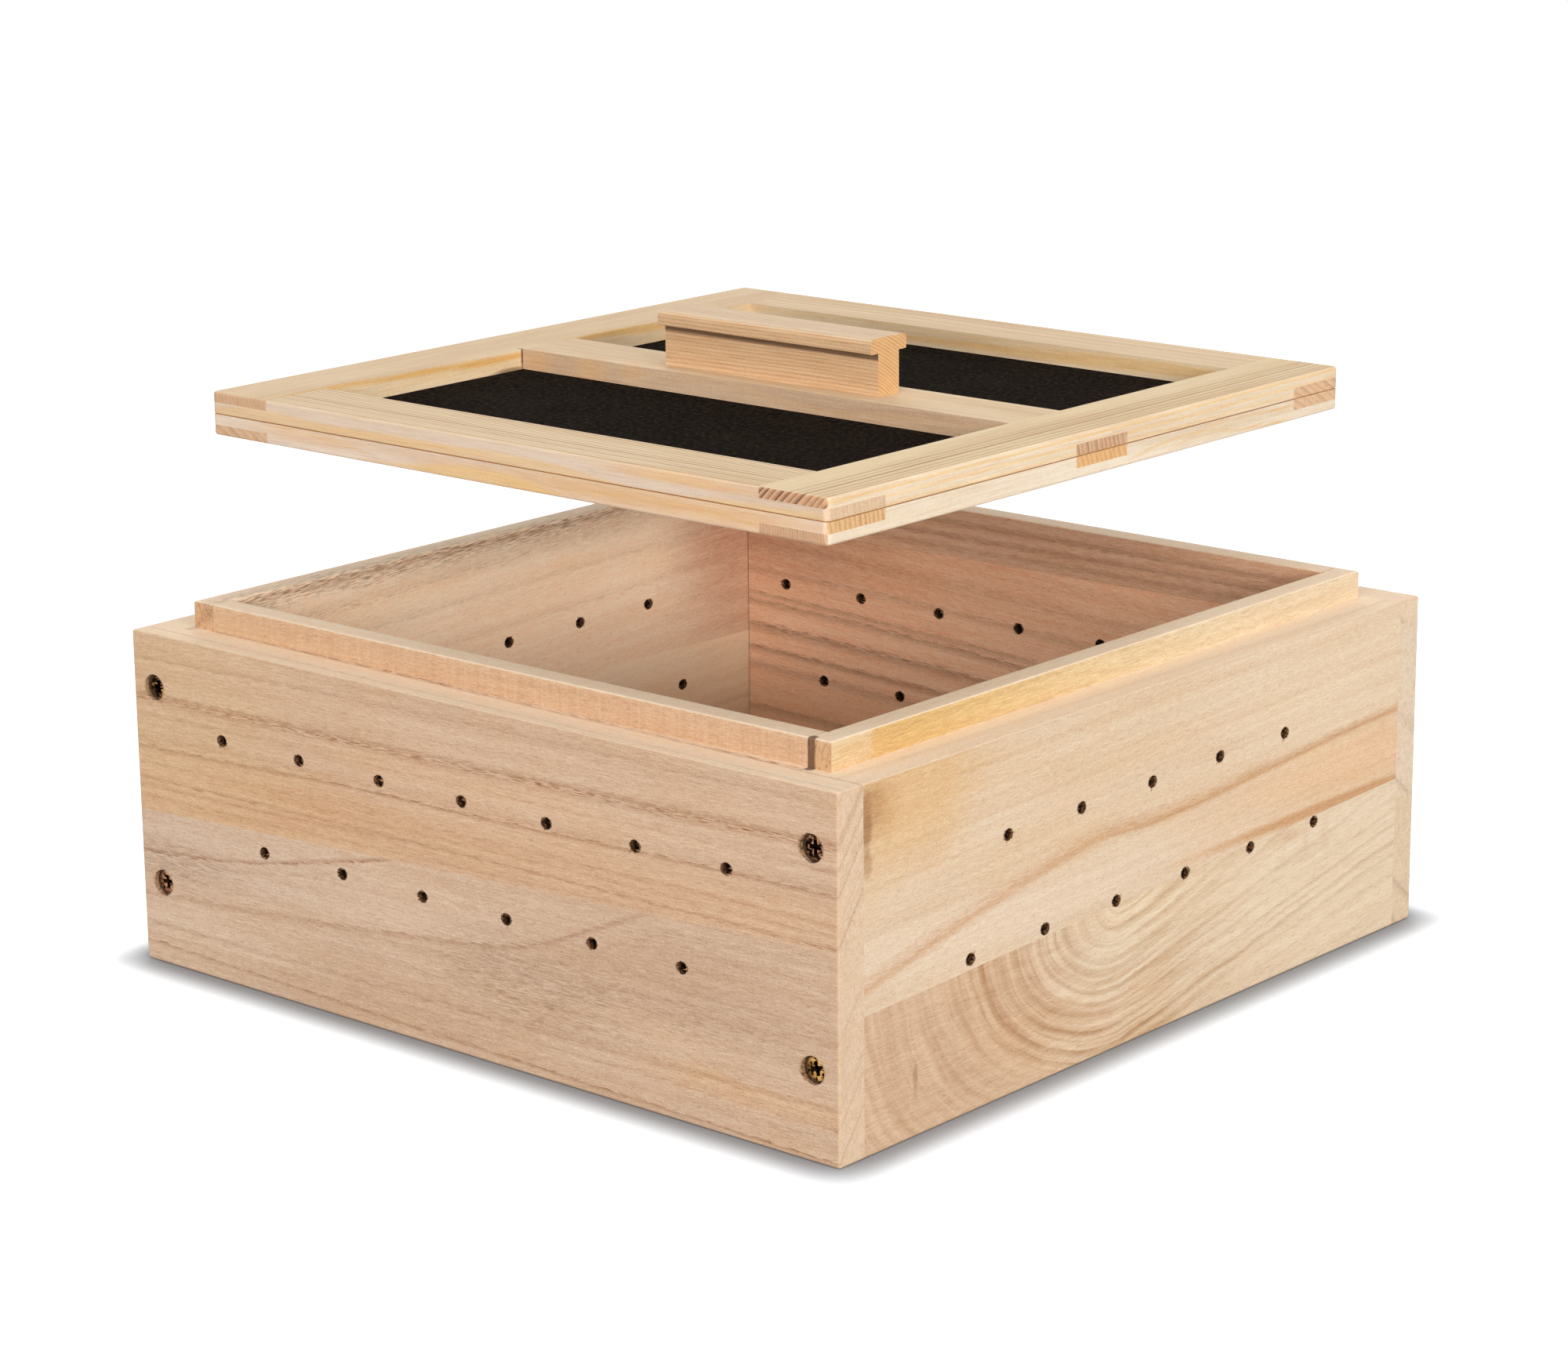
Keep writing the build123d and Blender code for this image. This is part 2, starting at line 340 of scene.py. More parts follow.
def wood_fibre(w, board, length, width):
    """Short streaks with a fine speckle, long threads and bands, feathery dashes and dark vessels."""
    cells = board / w.join(length, width, width)
    speck = w.noise(board, (0.8, 0.42, 0.42), 1.0)
    streak = w.step(w.noise(cells, detail=3.0, roughness=0.65), 0.24, 0.76)
    return {
        "Streaks": speck * 0.55 + streak * 0.45,
        "Threads": w.step(w.noise(board, (55.0, 0.8, 0.8)), 0.3, 0.7),
        "Bands": w.step(w.noise(board, (90.0, 3.0, 3.0), 3.0), 0.3, 0.7),
        "Dashes": w.step(w.noise(cells * (0.8, 0.9, 0.9) + FIBRE_OFFSET), 0.42, 0.66),
        "Vessels": w.step(w.noise(cells * (2.2, 1.3, 1.3) + FIBRE_OFFSET, detail=1.0), 0.63, 0.74),
    }


def growth_line(w, rise, bands, dashes, sharp, fade, feather):
    """One growth line. Rise is the height over it: it starts in sharp below and fades in fade above."""
    rise = (dashes - 0.5) * feather * (sharp * 0.7 + 0.4) + rise
    begun = w.step(rise, sharp * -1.0, 0.0)
    fading = w.math("POWER", 1.0 - w.step(rise, 0.0, fade), 1.6)
    uneven = (bands * 0.5 + 0.6) * (dashes * 0.75 + 0.4)
    return {"Mask": begun * fading * ((uneven - 0.85) * feather + 0.85)}


def ring_bands(w, field, spacing, wander, power):
    """Yearly rings along a field: pale early wood darkens slowly and ends at a sharp late edge."""
    years = field / spacing
    drift = {"W": years * 0.37, "Scale": 1.0, "Detail": 1.0}
    years = w.get("ShaderNodeTexNoise", "Fac", drift, noise_dimensions="1D") * wander + years
    season = w.math("FRACT", years)
    late = w.math("POWER", season, power) * (1.0 - w.step(season, 0.86, 1.0))
    own = w.get("ShaderNodeTexWhiteNoise", "Value", {"W": w.math("FLOOR", years)}, noise_dimensions="1D")
    return {"Late": late * (own * 0.6 + 0.55)}


WOOD_FIBRE = make_group(wood_fibre, Board=(0, 0, 0), Length=5.0, Width=0.3)
GROWTH_LINE = make_group(growth_line, Rise=0.0, Bands=0.5, Dashes=0.5, Sharp=0.6, Fade=4.0, Feather=1.0)
RING_BANDS = make_group(ring_bands, Field=0.0, Spacing=2.2, Wander=0.6, Power=3.0)

# %% Groups for stains, torn holes and rubbed arrises
HOLE_RADIUS = 2.25
HOLE_PITCH = 42.0
PATCH_SOFTNESS = 0.6


def stain_patch(w, board, centre, size, softness):
    """A soft-edged patch of another tone, drawn out by the grain."""
    far = (w.noise(board, (38.0, 7.0, 7.0), 3.0) - 0.5) * 0.9 + w.math("LENGTH", (board - centre) / size)
    return {"Mask": 1.0 - w.step(far, 1.0 - softness, softness + 1.0)}


def drilled_row(w, board, middle, row, pitch, count, radius, spread, ragged, slip):
    """Torn wood round a row of drilled holes: ragged, longest along the grain, a little off each hole."""
    along, height, _ = w.split(board)
    last = count - 1.0
    place = (along - middle) / pitch + last * 0.5
    nearest = w.math("MINIMUM", w.math("MAXIMUM", w.math("ROUND", place), 0.0), last)
    spot = w.join((place - nearest) * pitch * 0.85, height - row, 0.0)
    own = {"Vector": w.join(nearest, row, 0.0)}
    own = w.get("ShaderNodeTexWhiteNoise", "Color", own, noise_dimensions="2D") - (0.5, 0.5, 0.5)
    spot = own * w.join(slip, slip, 0.0) + spot
    far = (w.noise(board, (1.3, 0.6, 0.6)) - 0.5) * ragged + w.math("LENGTH", spot)
    return {"Tear": 1.0 - w.step(far, radius - 0.1, radius + spread)}


def arris(w, place, middle, half, reach):
    """1 close to the edges of a square-cut block, and 0 on its faces."""
    one, two, three = w.split(half - w.math("ABSOLUTE", place - middle))
    low = w.math("MINIMUM", one, two)
    second = w.math("MAXIMUM", low, w.math("MINIMUM", w.math("MAXIMUM", one, two), three))
    edge_wear_and_shade = w.noise(place, (3.0, 3.0, 3.0), 3.0)
    return {"Mask": 1.0 - w.step(second, 0.0, reach * (edge_wear_and_shade * 1.6 + 0.2))}


STAIN_PATCH = make_group(stain_patch, Board=(0, 0, 0), Centre=(0, 0, 0), Size=(1, 1, 1),
                         Softness=PATCH_SOFTNESS)
DRILLED_ROW = make_group(drilled_row, Board=(0, 0, 0), Middle=175.0, Row=0.0, Pitch=HOLE_PITCH, Count=7.0,
                         Radius=HOLE_RADIUS, Spread=0.25, Ragged=1.3, Slip=0.9)
ARRIS = make_group(arris, Place=(0, 0, 0), Middle=(0, 0, 0), Half=(1, 1, 1), Reach=1.5)

# %% [markdown]
# ## A finish for one piece of wood
#
# Every board, rail and grip gets a finish in the same order, as the wood itself is layered: a ground tone,
# stains, rings and growth lines, then fibres and vessels, then what tools and hands have done to it, with
# painted shade deep in the bores and recesses and on the arrises. The end grain is found by the surface's
# own direction. The relief of fibres and vessels goes to a Bump node.

# %% Faces, fibres and the end of a wood finish
VESSEL_BROWN = srgb(150, 106, 72)
FIBRE_SHARES = {"Streaks": 0.75, "Bands": 0.1, "Threads": 0.06}
WOOD_ROUGHNESS = 0.54
WOOD_SHEEN = 0.3
RELIEF_DEPTH = 0.00012
FACING_RANGE = (0.5, 0.8)


def facing(w, axis):
    """1 where the surface looks along that axis, either way."""
    normal = w.split(w.get("ShaderNodeNewGeometry", "Normal"))
    return w.step(w.math("ABSOLUTE", normal[axis]), *FACING_RANGE)


def facing_up(w):
    return w.step(w.split(w.get("ShaderNodeNewGeometry", "Normal"))[2], *FACING_RANGE)


def add_fibres(w, tone, fibre, depth=1.0, vessels=0.34):
    for name, share in FIBRE_SHARES.items():
        tone = w.mix(share * depth, tone, w.grey(fibre[name]), "SOFT_LIGHT")
    return w.layer(tone, fibre["Vessels"], vessels, VESSEL_BROWN)


def put_on(name, material):
    mesh = nodes[name].data
    mesh.materials.clear()
    mesh.materials.append(material)


def end_wood(w, tone, fibre, strength=0.5):
    """Joins tone and relief to the shader and puts it out."""
    relief = fibre["Streaks"] - fibre["Vessels"] * 1.5
    bump = w.get("ShaderNodeBump", 0, {"Strength": strength, "Distance": RELIEF_DEPTH, "Height": relief})
    w.surface(w.get("ShaderNodeBsdfPrincipled", 0, {
        "Base Color": tone, "Roughness": fibre["Streaks"] * 0.16 + WOOD_ROUGHNESS, "Normal": bump,
        "Specular IOR Level": WOOD_SHEEN,
    }))


print("relief in mm:", RELIEF_DEPTH / MM)

# %% [markdown]
# ## Wall boards
#
# The walls are a light, soft hardwood. Each stave was sawn from another part of the trunk, so each one has
# its own tone, slant and growth lines, and the lines are what makes a stave known. A line is written by a
# few heights along the board and drawn through the thickness at a slant, so that it comes out on the ledge,
# on the end grain and on the inside too. Heights belong to the face that is seen: outside on the front and
# right, inside on the others.

# %% Board space
low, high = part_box("front_lower_stave")
BOX_SIDE = (high.x - low.x) / MM
WALL = (high.y - low.y) / MM
LEDGE = 131.0
UPPER_VENTS = 95.4
LOWER_VENTS = 55.9
FRONT_ROWS = ((UPPER_VENTS, 7), (LOWER_VENTS, 6))
SIDE_ROWS = ((UPPER_VENTS, 5), (LOWER_VENTS, 6))
BOARD_SHIFT = (517.0, 89.0, 61.0)
WALL_SCREW_INSET = 11.6
WALL_SCREW_HEIGHTS = (32.6, 110.0)
WALLS = {
    "front": {"along": 0, "sign": 1, "face": 0.0, "vents": FRONT_ROWS, "screws": WALL_SCREW_HEIGHTS},
    "right": {"along": 1, "sign": -1, "face": 0.0, "vents": SIDE_ROWS, "screws": ()},
    "back": {"along": 0, "sign": -1, "face": WALL, "vents": FRONT_ROWS, "screws": WALL_SCREW_HEIGHTS},
    "left": {"along": 1, "sign": 1, "face": WALL, "vents": SIDE_ROWS, "screws": ()},
}


def board_space(w, place, wall, slope, tilt, seed):
    """What the layers of a stave share.

    Along is measured from the board's left or front end and depth from its outer face. Lean is the height
    carried to the seen face, spot is the place on the board, and grain is the same along sloping fibres."""
    axes = w.split(place)
    along = axes[wall["along"]] + BOX_SIDE / 2
    height = axes[2]
    depth = axes[1 - wall["along"]] * wall["sign"] + BOX_SIDE / 2
    level = height - (along - BOX_SIDE / 2) * slope
    grain = w.join(along, level, depth) + tuple(seed * shift for shift in BOARD_SHIFT)
    lean = height - (depth - wall["face"]) * tilt
    spot = w.join(along, height, depth)
    return SimpleNamespace(along=along, height=height, depth=depth, lean=lean, spot=spot, grain=grain,
                           end=facing(w, wall["along"]), fibre=w.place(WOOD_FIBRE, Board=grain))


print("box side in mm:", round(BOX_SIDE, 1), "wall in mm:", round(WALL, 1))

# %% Growth lines and patches
LINE_MARGIN = 20.0
LINE_RUN = BOX_SIDE + 2 * LINE_MARGIN
LINE_TOP = 150.0
LINE_FADE = 12.0


def line_height(w, along, path):
    """The height of a growth line along a board, through a few points."""
    node = w.add("ShaderNodeFloatCurve", {"Value": (along + LINE_MARGIN) / LINE_RUN})
    points = node.mapping.curves[0].points
    spots = [((x + LINE_MARGIN) / LINE_RUN, z / LINE_TOP) for x, z in path]
    for spot in spots[1:-1]:
        points.new(*spot)
    points[0].location = spots[0]
    points[-1].location = spots[-1]
    node.mapping.update()
    return Field(w, node.outputs[0]) * LINE_TOP


def draw_line(w, along, height, path, fibre, sharp, fade, feather=1.0):
    """The mask of one growth line, which fades in and out at its ends. A fade below zero goes down."""
    rise = (height - line_height(w, along, path)) * math.copysign(1.0, fade)
    line = w.place(GROWTH_LINE, Rise=rise, Sharp=sharp, Fade=abs(fade), Feather=feather,
                   Bands=fibre["Bands"], Dashes=fibre["Dashes"])
    first, last = path[0][0], path[-1][0]
    begun = w.step(along, first - LINE_FADE, first + LINE_FADE)
    return line["Mask"] * begun * (1.0 - w.step(along, last - LINE_FADE, last + LINE_FADE))


def add_patches(w, tone, spot, patches):
    """Patches are (centre, size, colour, strength), and a softness where it isn't the usual one."""
    for centre, size, colour, strength, *soft in patches:
        softness = soft[0] if soft else PATCH_SOFTNESS
        patch = w.place(STAIN_PATCH, Board=spot, Centre=centre, Size=size, Softness=softness)
        tone = w.layer(tone, patch["Mask"], strength, colour)
    return tone


print("line ends fade over mm:", 2 * LINE_FADE)

# %% Holes, recesses and the rim
TEAR_BROWN = srgb(34, 19, 10)
TORN_EDGE = srgb(78, 47, 26)
BORE_BROWN = srgb(150, 100, 62)
BORE_DARK = srgb(16, 9, 5)
BORE_RADIUS = 2.6
RECESS_RADIUS = 5.1
RECESS_BROWN = srgb(168, 128, 92)
RECESS_DARK = srgb(40, 22, 11)
RIM_FOOT = (LEDGE + 0.2, LEDGE + 0.5)


def add_vents(w, tone, b, rows):
    """Torn edges round the vent holes, and bores that go from shreds to dark, painted shade deeper in. Rows
    are (height, count).
    """
    sunk = WALL / 2 - w.math("ABSOLUTE", b.depth - WALL / 2)
    shreds = w.step(w.noise(b.spot, (1.0, 0.7, 0.9)), 0.4, 0.56)
    for row, count in rows:
        holes = {"Board": b.spot, "Row": row, "Count": float(count)}
        torn = w.place(DRILLED_ROW, Radius=HOLE_RADIUS, Spread=0.2, Ragged=1.3, Slip=0.5, **holes)
        tone = w.layer(tone, torn["Tear"], 0.9, TORN_EDGE)
        bore = w.place(DRILLED_ROW, Radius=BORE_RADIUS, Ragged=0.0, Slip=0.0, **holes)["Tear"]
        tone = w.layer(tone, bore * w.step(sunk, 0.05, 0.3), 0.97, w.mix(shreds, BORE_BROWN, TEAR_BROWN))
        # Painted shade: the bore walls turn near black deeper into the hole.
        tone = w.layer(tone, bore * w.step(sunk, 0.8, 3.6), 0.98, BORE_DARK)
    return tone


def add_recesses(w, tone, b, rows):
    """Ragged recesses for a screw at each end of the board, with shreds inside and a floor painted dark as
    shade.
    """
    shreds = w.step(w.noise(b.spot, (1.6, 1.1, 1.1)), 0.5, 0.62)
    apart = BOX_SIDE - 2 * WALL_SCREW_INSET
    for row in rows:
        pair = {"Board": b.spot, "Row": row, "Count": 2.0, "Pitch": apart, "Slip": 0.6}
        torn = w.place(DRILLED_ROW, Radius=RECESS_RADIUS - 0.35, Spread=0.4, Ragged=1.8, **pair)
        tone = w.layer(tone, torn["Tear"], 0.7, RECESS_BROWN)
        hollow = w.place(DRILLED_ROW, Radius=RECESS_RADIUS + 0.6, Ragged=0.4, **pair)["Tear"]
        hollow = hollow * w.step(b.depth, 0.1, 0.5)
        tone = w.layer(tone, hollow, 0.7, RECESS_BROWN)
        tone = w.layer(tone, hollow * shreds, 0.75, RECESS_DARK)
        # Painted shade: the recess goes dark towards its floor, round the screw head.
        tone = w.layer(tone, hollow * w.step(b.depth, 1.5, 2.0), 0.85, RECESS_DARK)
    return tone


def rim_face(w, b, rim, grain, stain):
    """The milled face of the rim. A stain is (start, reach, colour), fading out along the board."""
    chatter = w.noise(b.spot, grain)
    if stain:
        start, reach, colour = stain
        stained = w.step(b.along, start - 1.5, start + 1.5) * (1.0 - w.step(b.along, start, start + reach))
        rim = w.layer(rim, stained, chatter * 0.6 + 0.6, colour)
    return w.mix(0.5 if stain else 0.34, rim, w.grey(chatter), "SOFT_LIGHT")


print("recess radius in mm:", RECESS_RADIUS, "bore radius in mm:", BORE_RADIUS)

# %% One stave
LINE_BROWN = srgb(152, 100, 62)
END_FLECK = srgb(118, 76, 48)
# Painted shade, partly also wear: the darker tan on the box's rounded arrises, which tones down their light.
ARRIS_TAN = srgb(188, 156, 124)
TOP_TAN = srgb(250, 225, 195)
WARM_TINT = srgb(254, 249, 241)
FLECK_BROWN = srgb(122, 88, 62)
FLECK_SOFTNESS = 0.7
BLACK = (0, 0, 0, 1)
INNER_SKIN = (WALL - 8.5, WALL - 1.0)


def dress_board(name, wall, base, end_tone, lines=(), patches=(), figure=None, rim=None,
                rim_grain=(1.5, 40.0, 40.0), rim_stain=None, scars_and_shade=(), flecks=(), outer=None,
                line_tone=LINE_BROWN, feather=1.0, grain_depth=1.0, fleck=0.15, slope=0.0, tilt=0.8, seed=0):
    """One stave. Lines are (path, strength, sharp, fade), and figure is a function that draws more of them.

    Flecks are (centre, size, strength): patches of short dark dashes. Outer is the tone of the outside, where
    the base is that of the inside."""
    material, w, place = start_material(name + "_wood")
    b = board_space(w, place, WALLS[wall], slope, tilt, seed)
    inside = w.step(b.depth, *INNER_SKIN)
    on_rim = w.step(b.height, *RIM_FOOT)
    tone = w.mix(inside, outer, base) if outer else base
    cloudy = w.step(w.noise(b.grain, (150.0, 16.0, 16.0), 3.0), 0.35, 0.75)
    tone = w.mix(cloudy * 0.06, tone, BLACK)
    tinted = w.step(w.noise(b.grain, (55.0, 18.0, 18.0)), 0.42, 0.64)
    tone = w.mix(tinted * 0.7, tone, WARM_TINT, "MULTIPLY")
    if rim:
        milled = rim_face(w, b, w.mix(inside, outer, rim) if outer else rim, rim_grain, rim_stain)
        tone = w.mix(on_rim, tone, milled)
    tone = add_patches(w, tone, b.spot, patches)
    torn = w.step(w.noise(b.spot, (1.2, 2.2, 0.9), 3.0, 0.6), 0.52, 0.66)
    tone = w.layer(tone, b.end, 0.9, w.layer(end_tone, torn, fleck, END_FLECK))
    tone = w.layer(tone, facing_up(w), 0.85, TOP_TAN)
    tone = add_patches(w, tone, b.spot, scars_and_shade)
    if figure:
        tone = figure(w, tone, b)
    quiet = b.end * -0.25 + 1.0
    if rim and not outer:
        quiet = quiet * (1.0 - on_rim)
    for path, strength, sharp, fade in lines:
        mask = draw_line(w, b.along, b.lean, path, b.fibre, sharp, fade, feather)
        tone = w.layer(tone, mask * quiet, strength, line_tone)
    for centre, size, strength in flecks:
        patch = w.place(STAIN_PATCH, Board=b.spot, Centre=centre, Size=size, Softness=FLECK_SOFTNESS)
        tone = w.layer(tone, patch["Mask"] * b.fibre["Dashes"], strength, FLECK_BROWN)
    tone = add_fibres(w, tone, b.fibre, grain_depth)
    tone = add_vents(w, tone, b, WALLS[wall]["vents"])
    tone = add_recesses(w, tone, b, WALLS[wall]["screws"])
    # The arrises are darkened, partly as wear and partly as painted shade against their highlight.
    edge_wear_and_shade = w.place(ARRIS, Place=place, Middle=(0, 0, LEDGE / 2), Half=(BOX_SIDE / 2, BOX_SIDE / 2, LEDGE / 2))
    end_wood(w, w.layer(tone, edge_wear_and_shade["Mask"], 0.5, ARRIS_TAN), b.fibre)
    put_on(name, material)
    print("dressed:", name, "with", len(lines), "lines and", len(patches), "patches")


print("inner skin in mm:", [round(depth, 1) for depth in INNER_SKIN])

# %% [markdown]
# ## The two staves of the front wall
#
# The upper stave is a warm pinkish tan with three brown lines that climb slowly to the right, and an orange
# streak in its lower left. The lower stave is greyer, with two dark lines that sweep up from the left and
# end on the seam. The rim is the same board, milled back, so its face is a fresh orange tan.

# %% Front staves
PINK_TAN = srgb(215, 181, 151)
GREY_TAN = srgb(212, 180, 152)
ORANGE_TAN = srgb(216, 170, 125)
FRESH_TAN = srgb(211, 172, 137)
END_CREAM = srgb(215, 188, 158)
SMOKE = srgb(176, 148, 122)

dress_board(
    "front_upper_stave", "front", PINK_TAN, END_CREAM, slope=0.022, tilt=1.4, seed=1, rim=FRESH_TAN,
    grain_depth=1.05,
    patches=[
        ((175, 84, 0), (260, 10, 40), srgb(213, 173, 138), 0.8),
        ((10, 73, 0), (130, 15, 40), ORANGE_TAN, 0.9),
        ((200, 71, 0), (150, 8, 40), srgb(211, 170, 134), 0.5),
        ((0, 110, 0), (90, 60, 30), srgb(215, 179, 141), 0.7),
        ((170, 102, 0), (90, 5, 30), srgb(216, 176, 139), 0.6),
    ],
    lines=[
        ([(-20, 106), (150, 109), (370, 113.5)], 0.9, 2.4, 2.0),
        ([(-20, 104.4), (150, 107.0), (370, 111.4)], 0.45, 1.8, -2.6),
        ([(-20, 85.6), (60, 88), (100, 90), (200, 91.8), (300, 94.6), (370, 95)], 0.95, 0.8, -1.6),
        ([(-20, 88), (100, 92), (200, 93.6), (300, 96.4), (370, 97)], 0.25, 1.5, 3.0),
        ([(-20, 73), (150, 75.5), (370, 76.8)], 0.6, 0.8, 1.6),
        ([(-20, 70), (60, 71.4), (130, 74)], 0.4, 0.6, 1.4),
        ([(-20, 79), (120, 82), (370, 85)], 0.4, 0.7, 1.4),
        ([(60, 78.5), (220, 80), (370, 81.5)], 0.35, 0.6, 1.2),
        ([(-20, 98.5), (120, 100.5), (370, 104)], 0.25, 0.7, 1.6),
        ([(-20, 120), (150, 124), (370, 126)], 0.35, 0.8, 2.4),
        ([(-20, 66), (120, 69), (260, 73.4)], 0.35, 0.6, 1.4),
        ([(338, 103.5), (370, 103.5)], 0.5, 1.6, 2.6),
        ([(338, 77), (370, 77)], 0.5, 1.6, 2.6),
    ],
)
dress_board(
    "front_lower_stave", "front", GREY_TAN, END_CREAM, slope=0.016, tilt=1.4, seed=2, grain_depth=1.1,
    flecks=[((205, 33, 0), (44, 15, 20), 0.45), ((18, 42, 0), (30, 8, 20), 0.45),
            ((290, 40, 0), (50, 8, 20), 0.3)],
    patches=[
        ((205, 33, 0), (42, 15, 20), SMOKE, 0.08),
        ((130, 52, 0), (60, 14, 20), srgb(219, 189, 162), 0.6),
        ((40, 52, 0), (80, 20, 20), srgb(214, 185, 159), 0.8),
        ((295, 50, 0), (70, 18, 20), srgb(202, 168, 140), 0.75),
        ((320, 17, 0), (60, 5, 20), ORANGE_TAN, 0.4),
        ((30, 17, 0), (60, 14, 20), srgb(218, 188, 160), 0.8),
    ],
    lines=[
        ([(-20, 42.5), (60, 50), (100, 58), (140, 67)], 1.0, 0.6, 2.0),
        ([(-20, 39), (60, 46), (110, 55)], 0.3, 0.6, 1.6),
        ([(-20, 26), (150, 40), (200, 47), (240, 62), (262, 72)], 0.6, 1.0, -3.4),
        ([(150, 36), (215, 45), (255, 60), (280, 70)], 0.25, 0.8, -2.0),
        ([(-20, 15), (175, 17), (370, 20)], 0.4, 0.8, 2.4),
        ([(200, 21), (300, 20), (370, 22)], 0.3, 0.6, 1.4),
        ([(-20, 8.6), (60, 6.8), (150, 5), (370, 1.5)], 0.9, 0.5, -1.6),
        ([(140, 12), (370, 13.5)], 0.3, 0.7, 1.6),
        ([(-20, 11), (120, 10)], 0.3, 0.7, 1.4),
        ([(338, 44), (370, 44)], 0.4, 1.6, 2.6),
        ([(338, 14), (370, 14)], 0.35, 1.6, 2.6),
    ],
)

# %% [markdown]
# ## The two staves of the right wall
#
# The upper stave is pale cream with one soft brown band. The lower one was sawn flat near a swelling of the
# trunk, so its rings come out as nested arcs: steep on the left, and fanning out into low lines on the
# right. The field of the arcs is a distance that is stretched differently on the two sides of their centre.

# %% Nested arcs
BAND_BROWN = srgb(188, 136, 88)
ARC_BROWN = srgb(160, 116, 72)
ARC_CENTRE = (157.0, 57.0)
ARC_LEFT = 0.68
ARC_RIGHT = 0.25
ARC_REACH = 90.0
ARC_FALL = 0.15
ARC_PALING = (165.0, 250.0)
BELT_START = (24.0, 46.0)
BELT_END = (58.0, 76.0)
CALM_RINGS = (56.0, 66.0)
ARCS = [
    (11.0, 0.45, 1.0, 3.0), (17.5, 0.3, 0.8, 2.4), (23.0, 0.35, 1.2, 3.5), (33.0, 0.5, 0.7, 3.4),
    (37.5, 0.3, 0.5, 1.6), (42.0, 0.5, 0.6, 3.0), (47.5, 0.7, 0.5, 2.6), (50.5, 0.4, 0.4, 1.4),
    (54.0, 1.0, 0.7, 3.4), (58.5, 0.65, 0.5, 2.6), (66.0, 0.55, 1.4, 4.2), (77.0, 0.6, 2.0, 5.0),
    (87.0, 0.55, 1.6, 4.5), (97.0, 0.5, 1.6, 4.5),
]


def arched_field(w, b):
    """A distance from the arcs' centre, in millimetres on the upright through it."""
    side = b.along - ARC_CENTRE[0]
    to_right = w.math("MAXIMUM", side, 0.0)
    to_left = w.math("MINIMUM", side, 0.0) * ARC_LEFT
    flat = w.math("TANH", to_right / ARC_REACH) * (ARC_RIGHT * ARC_REACH) + to_left
    fall = to_right * ARC_FALL + (ARC_CENTRE[1] - b.lean)
    wavy = w.noise(w.join(b.along, b.lean, b.depth), (60.0, 40.0, 40.0))
    return (wavy - 0.5) * 6.0 + w.math("LENGTH", w.join(flat, fall, 0.0))


def add_arcs(w, tone, b):
    """A brown belt, a soft swirl, and the arcs, which are (distance, strength, sharp, fade)."""
    field = arched_field(w, b)
    paling = w.step(b.along, *ARC_PALING)
    belt = w.step(field, *BELT_START) * (1.0 - w.step(field, *BELT_END))
    tone = w.layer(tone, belt * (1.0 - paling), 0.22, BAND_BROWN)
    swirl = w.step(w.noise(w.join(field, b.along, b.lean), (2.2, 70.0, 50.0), 3.0, 0.6), 0.3, 0.7)
    shown = (paling * -0.6 + 1.0) * (w.step(field, *CALM_RINGS) * -0.45 + 1.0)
    tone = w.mix(shown * 0.34, tone, w.grey(swirl), "SOFT_LIGHT")
    for start, strength, sharp, fade in ARCS:
        arc = w.place(GROWTH_LINE, Rise=field - start, Sharp=sharp, Fade=fade, Feather=0.3,
                      Bands=b.fibre["Bands"], Dashes=b.fibre["Dashes"])
        uneven = w.step(w.noise(w.join(b.along, b.lean, start), (40.0, 30.0, 1.0), 1.0), 0.3, 0.65)
        tone = w.layer(tone, arc["Mask"] * (uneven * 0.75 + 0.35) * shown, strength, ARC_BROWN)
    return tone


print("arcs:", len(ARCS))

# %% Right staves
CREAM = srgb(217, 191, 161)
OCHRE = srgb(214, 171, 116)
RIM_END = srgb(210, 166, 124)
PALE = srgb(226, 202, 172)

dress_board(
    "right_upper_stave", "right", CREAM, RIM_END, slope=0.03, seed=3, rim=srgb(215, 191, 153), fleck=0.6,
    rim_grain=(7.0, 0.9, 40.0), rim_stain=(38.0, 200.0, srgb(209, 170, 106)),
    line_tone=BAND_BROWN, feather=0.5,
    scars_and_shade=[
        # Painted shade: a dark band on the rim's end grain, where the corner between the two rims opens.
        ((17, 137, 26.0), (3.0, 30, 1.9), srgb(88, 54, 32), 0.85, 0.3),
        ((14.5, 117, 0), (3.0, 11, 6), srgb(140, 98, 62), 0.7, 0.4),
        ((18, 123, 0), (6.0, 6, 6), srgb(168, 122, 78), 0.5, 0.5),
        ((15, 103, 0), (2.4, 5, 6), srgb(150, 106, 66), 0.45, 0.5),
    ],
    patches=[
        ((28, 124, 0), (40, 22, 20), OCHRE, 0.7),
        ((20, 120, 0), (10, 12, 12), srgb(186, 140, 92), 0.4),
        ((330, 115, 0), (110, 40, 30), PALE, 0.7),
        ((90, 66, 0), (110, 11, 20), srgb(222, 199, 174), 0.8),
        ((330, 74, 0), (90, 12, 20), srgb(222, 182, 142), 0.8),
        ((305, 60.5, 0), (100, 2.0, 20), srgb(192, 138, 88), 0.75),
    ],
    lines=[
        ([(-20, 51.5), (60, 69), (100, 76), (150, 82.2), (180, 81), (250, 84.6), (300, 87.6), (370, 90.4)],
         0.7, 3.0, -4.0),
        ([(-20, 56), (60, 72.4), (100, 79), (150, 85), (180, 84), (250, 87)], 0.35, 3.0, -9.0),
        ([(150, 81.4), (180, 80.4), (250, 84), (300, 87.2), (370, 90)], 0.7, 0.7, -2.2),
        ([(-20, 104), (150, 106), (370, 112)], 0.2, 0.8, 4.0),
        ([(-20, 121), (150, 124), (370, 126)], 0.2, 0.8, 4.0),
        ([(-20, 92), (150, 97), (370, 101)], 0.15, 0.8, 3.0),
    ],
)
